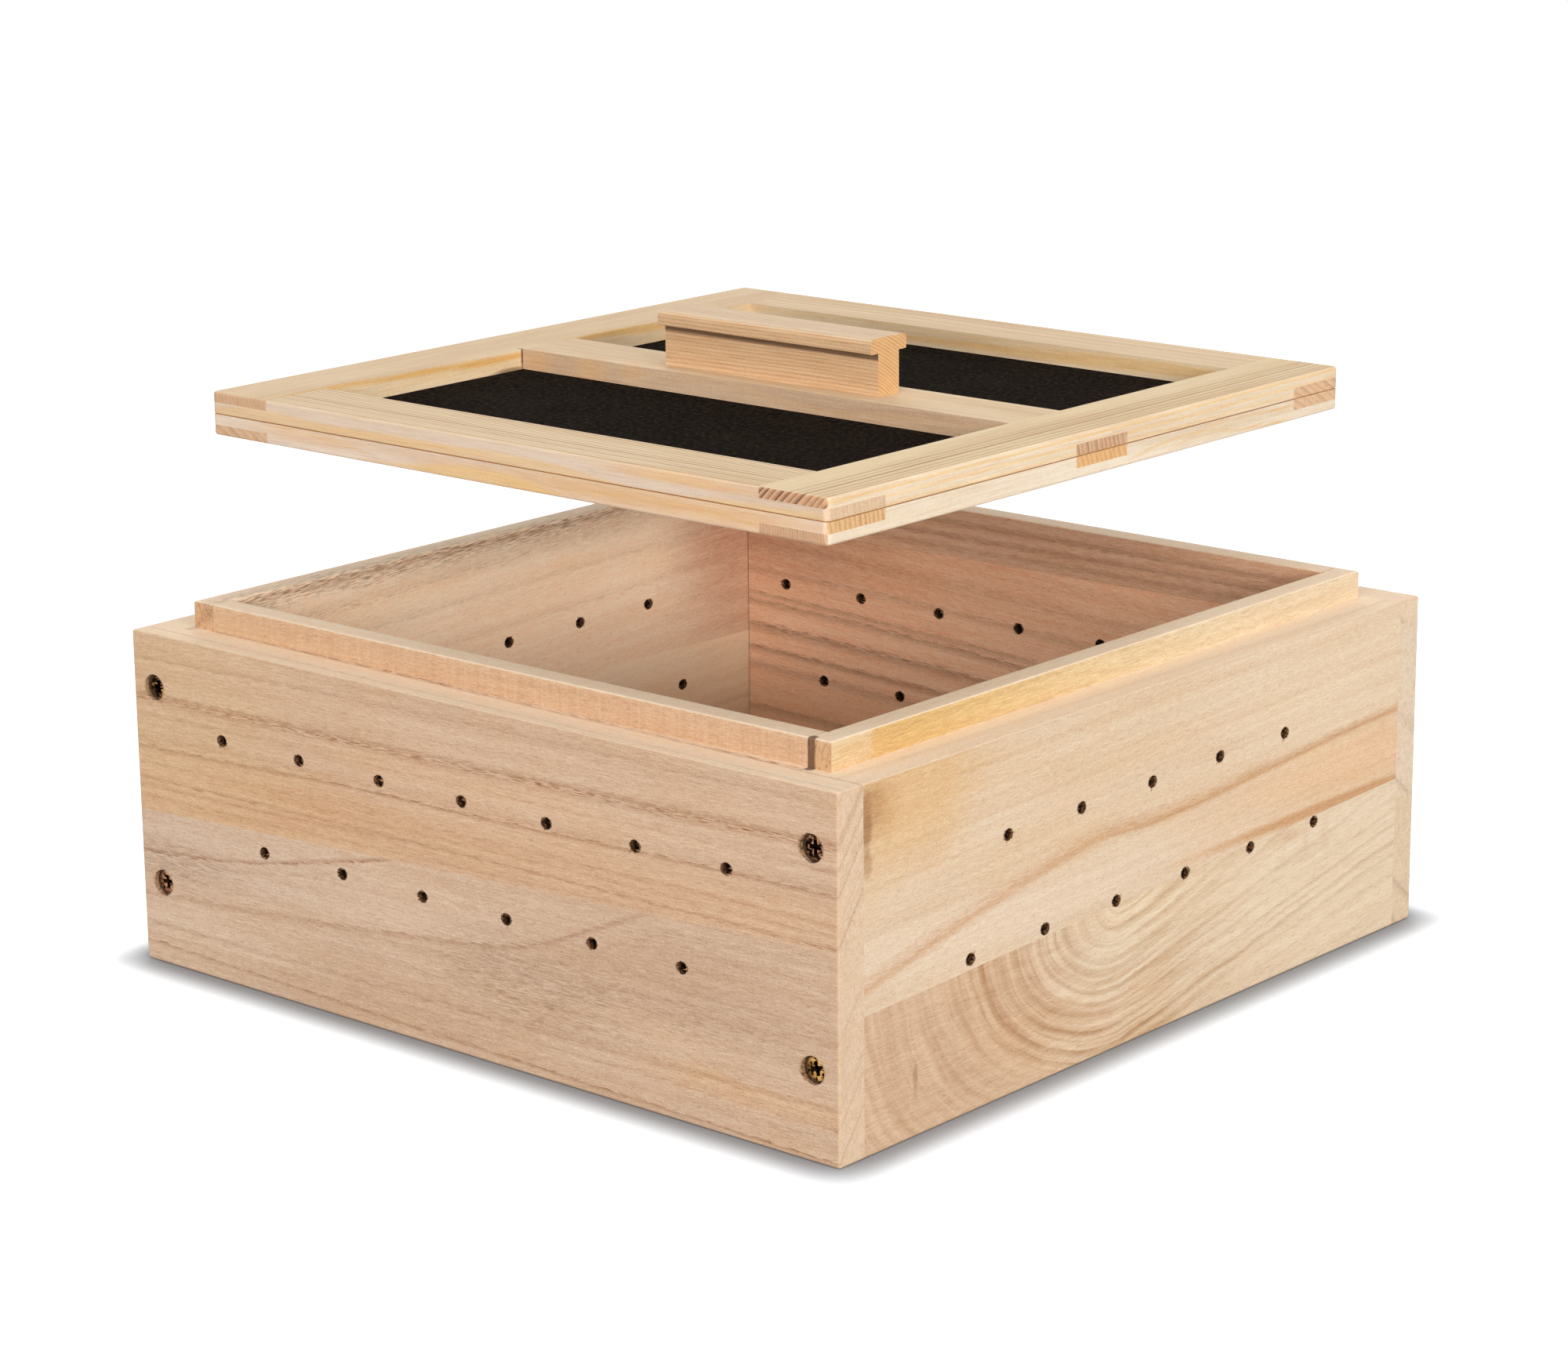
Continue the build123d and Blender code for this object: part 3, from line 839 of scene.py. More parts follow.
dress_board(
    "right_lower_stave", "right", srgb(219, 196, 167), END_CREAM, slope=0.03, seed=4, tilt=0.5,
    figure=add_arcs, grain_depth=0.8,
    patches=[
        ((20, 25, 0), (100, 60, 40), srgb(199, 164, 133), 0.85),
        ((330, 25, 0), (110, 50, 40), srgb(226, 204, 176), 0.7),
        ((275, 51, 0), (2.2, 7, 6), BAND_BROWN, 0.16, 1.0),
        ((288, 50, 0), (3.0, 6, 6), BAND_BROWN, 0.14, 1.0),
        ((265, 54, 0), (8, 1.6, 6), BAND_BROWN, 0.35, 0.9),
        ((40, 21, 0), (1.2, 5, 6), srgb(150, 112, 80), 0.6),
    ],
)

# %% [markdown]
# ## The left and back walls
#
# These two show their inside. It is redder than the outside, with brown bands on the back wall, which was
# sawn almost along the rings. Its ground tones are painted paler than the wood, as light that makes up for
# the shade of the lid, with painted shade towards the corner between the walls and more painted light lower
# down.

# %% Left and back staves
# Painted light: these inner tones are paler than the wood, to make up for the shade of the lid. INNER_SHADE
# is painted shade near the corner between the walls, and INNER_LOW painted light lower down.
INNER_TAN = srgb(248, 219, 187)
INNER_PINK = srgb(243, 206, 174)
INNER_DULL = srgb(236, 181, 144)
INNER_SHADE = srgb(196, 146, 116)
INNER_LOW = srgb(250, 204, 169)
INNER_BROWN = srgb(128, 82, 56)

dress_board(
    "left_upper_stave", "left", INNER_TAN, RIM_END, slope=0.05, seed=5, rim=INNER_TAN, fleck=0.6, outer=CREAM,
    flecks=[((120, 138.5, 27), (190, 4.5, 6), 0.7)],
    patches=[
        # Painted shade near the corner with the back wall, and painted light lower down.
        ((326, 110, 27), (44, 52, 16), INNER_SHADE, 1.0),
        ((200, 60, 27), (140, 50, 16), INNER_PINK, 0.6),
    ],
    lines=[
        ([(-20, 126), (150, 130), (370, 136)], 0.35, 4.0, 7.0),
        ([(-20, 139.5), (150, 140), (370, 139)], 0.75, 1.0, -4.5),
        ([(-20, 112), (150, 117), (370, 122)], 0.25, 1.0, 5.0),
        ([(-20, 96), (370, 108)], 0.2, 1.0, 5.0),
    ],
)
dress_board(
    "left_lower_stave", "left", INNER_TAN, END_CREAM, slope=0.05, seed=6, outer=PINK_TAN,
    lines=[([(-20, 30), (370, 44)], 0.3, 1.0, 5.0)],
)
dress_board(
    "back_top_stave", "back", srgb(218, 172, 140), PALE, seed=7, outer=PINK_TAN, line_tone=INNER_BROWN,
    feather=0.5, grain_depth=1.2,
    lines=[
        ([(-20, 124), (370, 125)], 0.35, 2.0, 4.0),
        ([(-20, 129), (370, 130)], 0.5, 1.6, 4.0),
        ([(-20, 135), (370, 135)], 0.5, 1.6, 4.0),
    ],
)
dress_board(
    "back_middle_stave", "back", INNER_DULL, srgb(221, 200, 174), slope=-0.05, seed=8, outer=PINK_TAN,
    line_tone=INNER_BROWN, feather=0.8, grain_depth=1.3,
    patches=[
        # Painted shade near the corner with the left wall, and painted light lower down.
        ((45, 124, 27), (60, 26, 16), INNER_SHADE, 0.75),
        ((190, 60, 27), (280, 34, 16), INNER_LOW, 0.75),
        ((310, 96, 27), (80, 50, 16), INNER_LOW, 0.6),
    ],
    lines=[
        ([(-20, 113), (120, 110), (370, 98)], 0.25, 3.0, -7.0),
        ([(-20, 101), (120, 98), (260, 90)], 0.35, 2.5, -4.0),
        ([(-20, 91), (120, 86), (370, 70)], 0.6, 1.4, -3.0),
        ([(-20, 87), (90, 84), (200, 78)], 0.7, 1.8, -4.0),
        ([(-20, 77), (120, 72), (370, 58)], 0.8, 2.4, -6.0),
        ([(-20, 67), (120, 62), (370, 50)], 0.85, 1.4, -4.0),
        ([(-20, 60), (200, 51), (370, 46)], 0.5, 2.5, -5.0),
    ],
)
dress_board(
    "back_lower_stave", "back", INNER_LOW, srgb(218, 194, 163), slope=-0.03, seed=9, outer=GREY_TAN,
    line_tone=INNER_BROWN, feather=0.5, grain_depth=1.2,
    lines=[([(-20, 40), (370, 30)], 0.5, 2.0, -5.0), ([(-20, 24), (370, 14)], 0.4, 2.0, -5.0)],
)

# %% [markdown]
# ## Lid rails and grip
#
# The lid is pine. Pine has clear yearly rings, so a rail is made from one flat field of rings, tilted in the
# rail's section: thin lines where they come out on top, soft golden bands on the sides, and slanted stripes
# on the end grain. Where a side was cut almost along a ring, the ring wanders over it as a flame, written
# like a growth line. The grip is cut nearer the heart, so its rings are circles round a line below it.

# %% A rail
PINE = srgb(229, 203, 167)
PINE_CLOUD = srgb(206, 174, 134)
PINE_LATE = srgb(158, 110, 60)
PINE_GOLD = srgb(232, 188, 118)
PINE_FLAME = srgb(222, 170, 92)
PINE_END = srgb(220, 180, 142)
PINE_END_LATE = srgb(66, 36, 20)
PINE_FIBRE = {"Length": 18.0, "Width": 0.35}
PINE_RELIEF = 0.35
FLAME_FLOOR = 140.0
RAIL_SHIFT = (431.0, 73.0, 57.0)


def dress_rail(name, along, tilt, spacing=2.4, flank_tone=PINE, lines=0.6, bands=0.4, wave=2.0, flames=(),
               patches=(), end_tone=PINE_END, end_rings=0.45, lined_from=-BOX_SIDE, top_tone=PINE, seed=0):
    """One rail: lines on top, bands on the flanks, and flames written as (path, strength, fade)."""
    material, w, place = start_material(name + "_pine")
    axes = w.split(place)
    length, across, height = axes[along], axes[1 - along], axes[2]
    rail = w.join(length, across, height)
    grain = rail + tuple(seed * shift for shift in RAIL_SHIFT)
    fibre = w.place(WOOD_FIBRE, Board=grain, **PINE_FIBRE)
    flank = facing(w, 1 - along)
    turned = across * math.cos(math.radians(tilt)) + height * math.sin(math.radians(tilt))
    field = w.noise(grain, (110.0, 30.0, 30.0), 1.0) * wave + turned
    rings = {"Field": field, "Spacing": spacing, "Wander": 0.9}
    thin = w.place(RING_BANDS, Power=2.6, **rings)["Late"]
    wide = w.place(RING_BANDS, Power=1.5, **rings)["Late"]
    cloudy = w.step(w.noise(grain, (120.0, 14.0, 14.0), 3.0), 0.35, 0.75)
    tone = w.mix(cloudy * 0.3, w.mix(flank, top_tone, flank_tone), PINE_CLOUD, "MULTIPLY")
    tone = add_patches(w, tone, rail, patches)
    lined = (1.0 - flank) * w.step(across, lined_from - 2.5, lined_from + 2.5)
    tone = w.layer(tone, thin * lined, lines, PINE_LATE)
    tone = w.layer(tone, wide * flank, bands, PINE_GOLD)
    for path, strength, fade in flames:
        flame = draw_line(w, length + BOX_SIDE / 2, height - FLAME_FLOOR, path, fibre, 0.5, fade)
        tone = w.layer(tone, flame * flank, strength, PINE_FLAME)
    late = w.math("MAXIMUM", thin, wide * 0.8)
    tone = w.mix(facing(w, along), tone, w.layer(end_tone, late, end_rings, PINE_END_LATE))
    end_wood(w, add_fibres(w, tone, fibre, 0.8, 0.12), fibre, PINE_RELIEF)
    put_on(name, material)
    print("dressed:", name, "with", len(flames), "flames and", len(patches), "patches")


print("pine fibres in mm:", PINE_FIBRE)

# %% Upper frame
SIDE, CROSS = 1, 0
PINE_PALE = srgb(227, 210, 186)
PINE_PINK = srgb(224, 200, 178)
PINE_DULL = srgb(214, 181, 150)
PINE_ORANGE = srgb(228, 180, 130)
SLIT_BROWN = srgb(84, 56, 34)

dress_rail(
    "upper_right_rail", SIDE, -44, 2.1, flank_tone=PINE_PALE, lines=1.25, bands=1.1, wave=2.5, seed=11,
    end_tone=srgb(218, 168, 129), end_rings=1.35, lined_from=134.0, top_tone=srgb(231, 206, 167),
)
dress_rail(
    "upper_left_rail", SIDE, 12, 2.0, lines=0.25, bands=0.3, wave=5.0, seed=12, end_tone=srgb(212, 170, 134),
    end_rings=0.2,
    patches=[
        ((-125, -121.6, 222), (28, 1.3, 1.2), PINE_FLAME, 0.8),
        ((-72, -121, 220.5), (28, 2.0, 1.1), PINE_FLAME, 0.85),
        ((-34, -121, 219.6), (22, 2.0, 1.2), PINE_FLAME, 0.85),
        ((34, -121.4, 221.4), (26, 2.0, 1.4), PINE_FLAME, 0.8),
        ((66, -121, 220), (24, 2.0, 1.4), PINE_FLAME, 0.7),
        ((-15.4, -121, 217.5), (0.6, 3.0, 8.0), SLIT_BROWN, 0.85),
        ((-22, -121, 214.4), (8.0, 3.0, 0.9), SLIT_BROWN, 0.75),
    ],
)
dress_rail(
    "upper_front_rail", CROSS, 8, 2.1, flank_tone=PINE_PINK, top_tone=srgb(234, 210, 174), lines=1.2,
    bands=0.85, seed=13, end_tone=srgb(216, 184, 150), end_rings=0.25,
    patches=[
        ((88, -151, 219.4), (36, 4.0, 1.8), PINE_ORANGE, 0.7),
        ((-60, -151, 216), (60, 4.0, 1.4), PINE_ORANGE, 0.35),
    ],
)
dress_rail(
    "upper_back_rail", CROSS, 60, 2.8, lines=0.35, wave=4.0, seed=14,
    patches=[
        ((20, 121, 217), (90, 4.0, 1.6), PINE_FLAME, 0.5),
        ((90, 121, 219), (50, 4.0, 1.4), PINE_FLAME, 0.5),
    ],
)
dress_rail(
    "upper_crossbar", CROSS, 15, 2.6, flank_tone=PINE_DULL, lines=0.35, bands=0.2, wave=6.0, seed=15,
    end_tone=srgb(208, 166, 130), end_rings=0.8,
    patches=[
        ((-112, -15, 218), (7, 4.0, 5.0), PINE_ORANGE, 0.5),
        ((-84, -15, 217), (8, 4.0, 6.0), PINE_ORANGE, 0.6),
        ((-62, -15, 219), (6, 4.0, 5.0), PINE_ORANGE, 0.45),
        ((60, -15, 217), (60, 4.0, 3.0), srgb(196, 160, 128), 0.5),
    ],
)

# %% Lower frame
dress_rail(
    "lower_right_rail", SIDE, 6, 1.2, flank_tone=PINE_PALE, bands=0.12, seed=16, end_tone=srgb(212, 168, 132),
    end_rings=0.5,
    flames=[
        ([(196, 68.5), (232, 71.3), (261, 68.2), (303, 65.8)], 0.8, -1.8),
        ([(222, 68.6), (248, 72.6), (268, 72.8), (296, 69.8)], 0.75, -1.6),
        ([(250, 70.6), (275, 72.0), (318, 69.4)], 0.6, -1.4),
    ],
)
dress_rail(
    "lower_front_rail", CROSS, 8, flank_tone=srgb(235, 214, 194), bands=0.75, wave=3.0, seed=18,
    end_tone=srgb(222, 178, 126), end_rings=0.6,
    patches=[
        ((-98, -151, 211), (30, 4.0, 2.4), PINE_ORANGE, 0.4),
        ((70, -151, 210), (90, 4.0, 4.0), srgb(222, 176, 128), 0.8),
    ],
    flames=[
        ([(52, 73), (80, 71.8), (110, 69)], 0.5, -1.4),
        ([(210, 69.5), (260, 70.5), (310, 68)], 0.45, -2.0),
    ],
)
dress_rail("lower_left_rail", SIDE, 60, 2.6, wave=5.0, seed=17)
dress_rail("lower_back_rail", CROSS, 60, 2.6, wave=5.0, seed=19)
dress_rail("lower_crossbar", CROSS, 20, 2.6, end_tone=srgb(224, 174, 118), wave=4.0, seed=20)

# %% Grip
GRIP_TONE = srgb(224, 184, 141)
GRIP_LATE = srgb(146, 92, 56)
GRIP_TOP = srgb(225, 198, 166)
GRIP_END = srgb(219, 174, 122)
GRIP_END_LATE = srgb(132, 76, 36)
GRIP_FLANGE_SHADE = srgb(58, 34, 20)
FLANGE_FOOT = 238.2
GRIP_HEART = (0.0, -33.0, 180.0)


def dress_grip():
    material, w, place = start_material("grip_pine")
    fibre = w.place(WOOD_FIBRE, Board=place, **PINE_FIBRE)
    wavy = w.noise(place, (90.0, 30.0, 30.0), 1.0)
    field = wavy * 2.5 + w.math("LENGTH", (place - GRIP_HEART) * (0.0, 1.0, 1.0))
    late = w.place(RING_BANDS, Field=field, Spacing=1.25, Wander=0.6, Power=4.0)["Late"]
    tone = w.layer(w.mix(facing_up(w), GRIP_TONE, GRIP_TOP), late, 0.85, GRIP_LATE)
    tone = w.mix(facing(w, 0), tone, w.layer(GRIP_END, late, 1.0, GRIP_END_LATE))
    # Painted shade: a dark band on the stem just under the flange, where its shadow falls.
    below = FLANGE_FOOT - w.split(place)[2]
    flange_shade = w.step(below, -0.1, 0.05) * (1.0 - w.step(below, 1.9, 3.4))
    tone = w.layer(tone, flange_shade * facing(w, 1), 0.8, GRIP_FLANGE_SHADE)
    end_wood(w, add_fibres(w, tone, fibre, 0.8, 0.15), fibre, PINE_RELIEF)
    put_on("lid_handle", material)


dress_grip()
print("grip dressed, rings round the line through", GRIP_HEART)

# %% [markdown]
# ## Screws
#
# Each corner is pulled together by two wood screws, sunk below the face, and the lid is screwed together
# from below. A modelled screw could be copied by hand, but one small tree of Geometry Nodes does it from its
# sizes: a countersunk head with a cross cut out of it, a shank and a point. It is set on points that know
# which way they face and how much painted reflection, of the pink wood and of dark surroundings, their
# screw carries, and each copy gets a turn of its own.

# %% Helpers for Geometry Nodes


def new_tree(name, **inputs):
    """A Geometry Nodes tree with these inputs and defaults. None stands for a material."""
    tree = bpy.data.node_groups.new(name, "GeometryNodeTree")
    tree.interface.new_socket("Geometry", in_out="INPUT", socket_type="NodeSocketGeometry")
    for label, value in inputs.items():
        kind = {float: "NodeSocketFloat", int: "NodeSocketInt"}.get(type(value), "NodeSocketMaterial")
        socket = tree.interface.new_socket(label, in_out="INPUT", socket_type=kind)
        if value is not None:
            socket.default_value = value
    tree.interface.new_socket("Geometry", in_out="OUTPUT", socket_type="NodeSocketGeometry")
    w = Wiring(tree)
    return tree, w, w.outputs(w.add("NodeGroupInput"))


def chance(w, low, high, seed):
    """A random number for each point."""
    return w.get("FunctionNodeRandomValue", 1, {2: low, 3: high, "Seed": seed}, data_type="FLOAT")


def mark(w, name, kind="FLOAT_VECTOR"):
    """What a point carries under this name."""
    return w.get("GeometryNodeInputNamedAttribute", 0, {"Name": name}, data_type=kind)


def aimed(w, name):
    """A turn that points a copy's Z axis the way its point's mark says."""
    return w.get("FunctionNodeAlignRotationToVector", 0, {"Vector": mark(w, name)}, axis="Z")


def store(w, geometry, name, value, domain):
    values = {"Geometry": geometry, "Name": name, "Value": value}
    return w.get("GeometryNodeStoreNamedAttribute", 0, values, data_type="FLOAT", domain=domain)


def cone(w, vertices, top, bottom, depth):
    values = {"Vertices": vertices, "Radius Top": top, "Radius Bottom": bottom, "Depth": depth}
    return w.get("GeometryNodeMeshCone", "Mesh", values)


def lower(w, mesh, drop):
    values = {"Geometry": mesh, "Translation": w.join(0.0, 0.0, drop * -1.0)}
    return w.get("GeometryNodeTransform", 0, values)


def put_out(w, copies, material):
    """Realizes the copies, as the export needs, and gives them their material."""
    realized = w.get("GeometryNodeRealizeInstances", 0, {"Geometry": copies})
    painted = w.get("GeometryNodeSetMaterial", 0, {"Geometry": realized, "Material": material})
    w.add("NodeGroupOutput", {"Geometry": painted})


print("helpers ready:", new_tree.__name__, put_out.__name__)

# %% The screw tree
HEAD_SIDES = 40
SHANK_SIDES = 20


def make_screw_tree():
    tree, w, given = new_tree("sunk_screws", Head=0.0086, Shank=0.0045, Length=0.045, Cross=0.0052,
                              Slot=0.0011, Cut=0.0017, Seed=3, Material=None)
    wide = given["Head"] * 0.5
    thin = given["Shank"] * 0.5
    sink = wide - thin
    head = lower(w, cone(w, HEAD_SIDES, wide, thin, sink), sink)
    carve = w.add("GeometryNodeMeshBoolean", {"Mesh 1": head}, operation="DIFFERENCE")
    deep = given["Cut"] * 2.0
    for size in ((given["Cross"], given["Slot"], deep), (given["Slot"], given["Cross"], deep)):
        w.feed(carve.inputs["Mesh 2"], w.get("GeometryNodeMeshCube", "Mesh", {"Size": w.join(*size)}))
    tip = given["Length"] - given["Shank"]
    shank = lower(w, cone(w, SHANK_SIDES, thin, thin, tip - sink), tip)
    point = lower(w, cone(w, SHANK_SIDES, thin, 0.0, given["Shank"]), given["Length"])
    whole = w.add("GeometryNodeJoinGeometry")
    for part in (w.outputs(carve)["Mesh"], shank, point):
        w.feed(whole.inputs[0], part)
    below = w.split(w.get("GeometryNodeInputPosition"))[2] * (-1 / MM)
    screw = store(w, w.outputs(whole)["Geometry"], "below", below, "POINT")
    turn = {"Axis": (0, 0, 1), "Angle": chance(w, 0.0, math.tau, given["Seed"])}
    turn = {"Rotation": aimed(w, "facing"), "Rotate By": w.get("FunctionNodeAxisAngleToRotation", 0, turn)}
    spin = w.get("FunctionNodeRotateRotation", 0, turn, rotation_space="LOCAL")
    copies = {"Points": given["Geometry"], "Instance": screw, "Rotation": spin}
    put_out(w, w.get("GeometryNodeInstanceOnPoints", 0, copies), given["Material"])
    return tree


SCREW_TREE = make_screw_tree()
print("screw tree nodes:", len(SCREW_TREE.nodes))

# %% [markdown]
# The plating is yellow and thin, so a screw shows bright yellow on its edges. Its hollows and part of its
# head are painted dark. The tree stores how far each point lies below the top of the head, so the cross is
# black, as painted shade, and a noise, raised by each screw's own share of painted dark reflection, spreads
# the same dark over the head. A share of pink on some heads is a painted reflection of the wood. The
# roughness follows the dark.

# %% Yellow plated metal
PLATING = srgb(206, 162, 88)
# Painted reflection of the pink wood round the screw.
PLATING_WOOD_REFLECTION = srgb(190, 138, 106)
# Painted shade in the cross, and painted dark reflection on the head.
DARK_SHADE_AND_REFLECTION = srgb(30, 19, 11)


def make_screw_metal():
    material, w, place = start_material("yellow_plated_steel")
    pink, grime, below = (w.get("ShaderNodeAttribute", "Fac", attribute_name=name)
                          for name in ("pinkness", "grime", "below"))
    spots = w.step(grime * 0.3 + w.noise(place, (1.8, 1.8, 1.8), 3.0), 0.56, 0.72)
    dark = w.math("MAXIMUM", spots, w.step(below, 0.05, 0.5))
    tone = w.mix(dark, w.mix(pink, PLATING, PLATING_WOOD_REFLECTION), DARK_SHADE_AND_REFLECTION)
    w.surface(w.get("ShaderNodeBsdfPrincipled", 0, {
        "Base Color": tone, "Roughness": dark * 0.2 + 0.36, "Metallic": 1.0,
    }))
    return material


SCREW_METAL = make_screw_metal()
print("material:", SCREW_METAL.name)

# %% Points to grow on


def mesh_points(name, spots, **marks):
    """A mesh of loose points in millimetres, with a number or a vector as a mark on each."""
    mesh = bpy.data.meshes.new(name)
    mesh.from_pydata([Vector(spot) * MM for spot in spots], [], [])
    for label, values in marks.items():
        kind, field = ("FLOAT", "value") if isinstance(values[0], float) else ("FLOAT_VECTOR", "vector")
        layer = mesh.attributes.new(label, kind, "POINT")
        for item, value in zip(layer.data, values):
            setattr(item, field, value)
    return mesh


def grow(name, mesh, tree, settings):
    """Runs a tree on a mesh and keeps the result as a plain mesh, with no modifier left."""
    seed = new_object(name + "_points", mesh)
    modifier = seed.modifiers.new(tree.name, "NODES")
    modifier.node_group = tree
    for socket in tree.interface.items_tree:
        if socket.in_out == "INPUT" and socket.name in settings:
            modifier[socket.identifier] = settings[socket.name]
    made = bpy.data.meshes.new_from_object(seed.evaluated_get(bpy.context.evaluated_depsgraph_get()))
    bpy.data.objects.remove(seed)
    made.name = name
    return new_object(name, made)


def join_pieces(name, pieces):
    """One plain mesh from several, all of the same material."""
    whole = new_object(name, bpy.data.meshes.new(name))
    with bpy.context.temp_override(active_object=whole, selected_editable_objects=[whole, *pieces]):
        bpy.ops.object.join()
    return whole


print("helpers ready:", mesh_points.__name__, grow.__name__, join_pieces.__name__)

# %% Set the screws
WALL_SCREW_SINK = 2.2
# How much painted reflection of the wood, and of dark surroundings, each wall screw carries.
WALL_WOOD_REFLECTION = [1.0, 0.1, 0.1, 0.9, 0.2, 0.7, 0.9, 0.1]
WALL_DARK_REFLECTION = [0.35, 0.8, 0.45, 0.6, 0.3, 0.5, 0.2, 0.6]
LID_SCREW_SPREAD = 136.0
GRIP_SCREW_SPREAD = 32.0
LID_TINT_STEP = 0.37
LID_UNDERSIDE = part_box("lower_front_rail")[0].z / MM
WALL_SCREW = {"Slot": 0.0016, "Seed": 5}
FRAME_SCREW = {"Head": 0.0056, "Shank": 0.003, "Length": 0.012, "Cross": 0.0034, "Slot": 0.0007, "Cut": 0.001,
               "Seed": 9}
GRIP_SCREW = {"Head": 0.007, "Shank": 0.0035, "Length": 0.028, "Cross": 0.0044, "Slot": 0.0009, "Cut": 0.0014,
              "Seed": 9}

side = BOX_SIDE / 2 - WALL_SCREW_INSET
seat = BOX_SIDE / 2 - WALL_SCREW_SINK
wall_seats = [(x, y, z) for y in (-seat, seat) for x in (-side, side) for z in WALL_SCREW_HEIGHTS]
wall_faces = [(0, math.copysign(1, spot[1]), 0) for spot in wall_seats]
wall_points = mesh_points("wall_seats", wall_seats, facing=wall_faces, pinkness=WALL_WOOD_REFLECTION, grime=WALL_DARK_REFLECTION)
box_screws = grow("box_screws", wall_points, SCREW_TREE, {"Material": SCREW_METAL, **WALL_SCREW})
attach(box_screws, "box")
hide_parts("front_wall_screws", "back_wall_screws")

frame_laps = [(x * LID_SCREW_SPREAD, y * LID_SCREW_SPREAD) for x in (-1, 1) for y in (-1, 0, 1)]
frame_seats = [(x, y, LID_UNDERSIDE) for x, y in frame_laps]
grip_seats = [(x, 0.0, LID_UNDERSIDE) for x in (-GRIP_SCREW_SPREAD, GRIP_SCREW_SPREAD)]
parts = []
for name, seats, sizes in (("frame_seats", frame_seats, FRAME_SCREW), ("grip_seats", grip_seats, GRIP_SCREW)):
    tint = [(i * LID_TINT_STEP) % 1 for i in range(len(seats))]
    points = mesh_points(name, seats, facing=[(0, 0, -1)] * len(seats), pinkness=tint, grime=tint[::-1])
    parts.append(grow(name, points, SCREW_TREE, {"Material": SCREW_METAL, **sizes}))
lid_screws = join_pieces("lid_screws", parts)
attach(lid_screws, "lid")
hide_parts("frame_screws", "handle_screws")
print("screw faces:", len(box_screws.data.polygons), len(lid_screws.data.polygons))

# %% [markdown]
# ## Torn fibres
#
# A blunt drill tears soft wood. Splinters stand up round each hole and lean over it, most of them at its two
# ends along the grain, and the sunk screws leave a ragged edge. They are far too many to place by hand, so a
# second tree sets a thin tapered blade on each of a scatter of points, which carry the direction and length
# of their own splinter.

# %% The splinter tree
SPLINTER_PALE = srgb(196, 146, 100)
SPLINTER_DARK = srgb(84, 52, 30)


def make_splinter_tree():
    tree, w, given = new_tree("torn_fibres", Thickness=0.00028, Seed=1, Material=None)
    wide = given["Thickness"] * chance(w, 0.5, 1.4, given["Seed"])
    flat = given["Thickness"] * chance(w, 0.3, 0.7, 4)
    copies = w.get("GeometryNodeInstanceOnPoints", 0, {
        "Points": given["Geometry"], "Instance": cone(w, 4, 0.0, 1.0, 1.0), "Rotation": aimed(w, "lie"),
        "Scale": w.join(wide, flat, mark(w, "reach", "FLOAT")),
    })
    put_out(w, store(w, copies, "shade", chance(w, 0.0, 1.0, 6), "INSTANCE"), given["Material"])
    return tree


def make_splinter_wood():
    material, w, place = start_material("splinter_wood")
    shade = w.get("ShaderNodeAttribute", "Fac", attribute_name="shade")
    fibre = w.place(WOOD_FIBRE, Board=place, Length=4.0)
    end_wood(w, add_fibres(w, w.mix(shade, SPLINTER_PALE, SPLINTER_DARK), fibre), fibre)
    return material


SPLINTER_TREE = make_splinter_tree()
SPLINTER_WOOD = make_splinter_wood()
print("splinter tree nodes:", len(SPLINTER_TREE.nodes))

# %% Scatter the splinters
HOLE_SPLINTERS = 5
RECESS_SPLINTERS = 12
HOLE_SPLINTER_LENGTH = 1.7
RECESS_SPLINTER_LENGTH = 1.8
OUTWARD_SHARE = 0.3
SPLINTER_SEED = 11


def wall_point(wall, along, height, depth):
    """From board space back to the box, in millimetres."""
    spot = [0.0, 0.0, height]
    spot[wall["along"]] = along - BOX_SIDE / 2
    spot[1 - wall["along"]] = wall["sign"] * (depth - BOX_SIDE / 2)
    return Vector(spot)


def scatter_splinters():
    dice = random.Random(SPLINTER_SEED)
    spots, lies, reaches = [], [], []

    def ring(wall, along, height, depth, radius, count, longest, outward=0.0):
        middle = wall_point(wall, along, height, depth)
        proud = wall_point(wall, along, height, depth + (-1 if depth < WALL / 2 else 1)) - middle
        for _ in range(count):
            angle = dice.choice((0.0, math.pi)) + dice.gauss(0, 0.8)
            out = dice.uniform(0.96, 1.06) * radius
            foot = wall_point(wall, along + out * math.cos(angle), height + out * math.sin(angle), depth)
            over = wall_point(wall, along + dice.uniform(-0.3, 0.5) * radius * math.cos(angle),
                              height + radius * 0.9 * math.sin(angle), depth)
            lie = (over - foot).normalized() + proud * dice.uniform(0.02, 0.35)
            if dice.random() < outward:
                lie = (foot - middle).normalized() + proud * dice.uniform(0.05, 0.25)
            spots.append(foot)
            lies.append(lie.normalized())
            reaches.append(dice.uniform(0.5, 1.0) * longest * MM)

    for wall in WALLS.values():
        for row, count in wall["vents"]:
            for i in range(count):
                along = BOX_SIDE / 2 + (i - (count - 1) / 2) * HOLE_PITCH
                for depth in (0.0, WALL):
                    ring(wall, along, row, depth, HOLE_RADIUS, HOLE_SPLINTERS, HOLE_SPLINTER_LENGTH,
                         OUTWARD_SHARE)
    for wall in WALLS.values():
        for along in (WALL_SCREW_INSET, BOX_SIDE - WALL_SCREW_INSET):
            for height in wall["screws"]:
                ring(wall, along, height, 0.0, RECESS_RADIUS, RECESS_SPLINTERS, RECESS_SPLINTER_LENGTH)
    return mesh_points("splinter_roots", spots, lie=lies, reach=reaches)


splinters = grow("box_splinters", scatter_splinters(), SPLINTER_TREE, {"Material": SPLINTER_WOOD})
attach(splinters, "box")
print("splinter faces:", len(splinters.data.polygons))
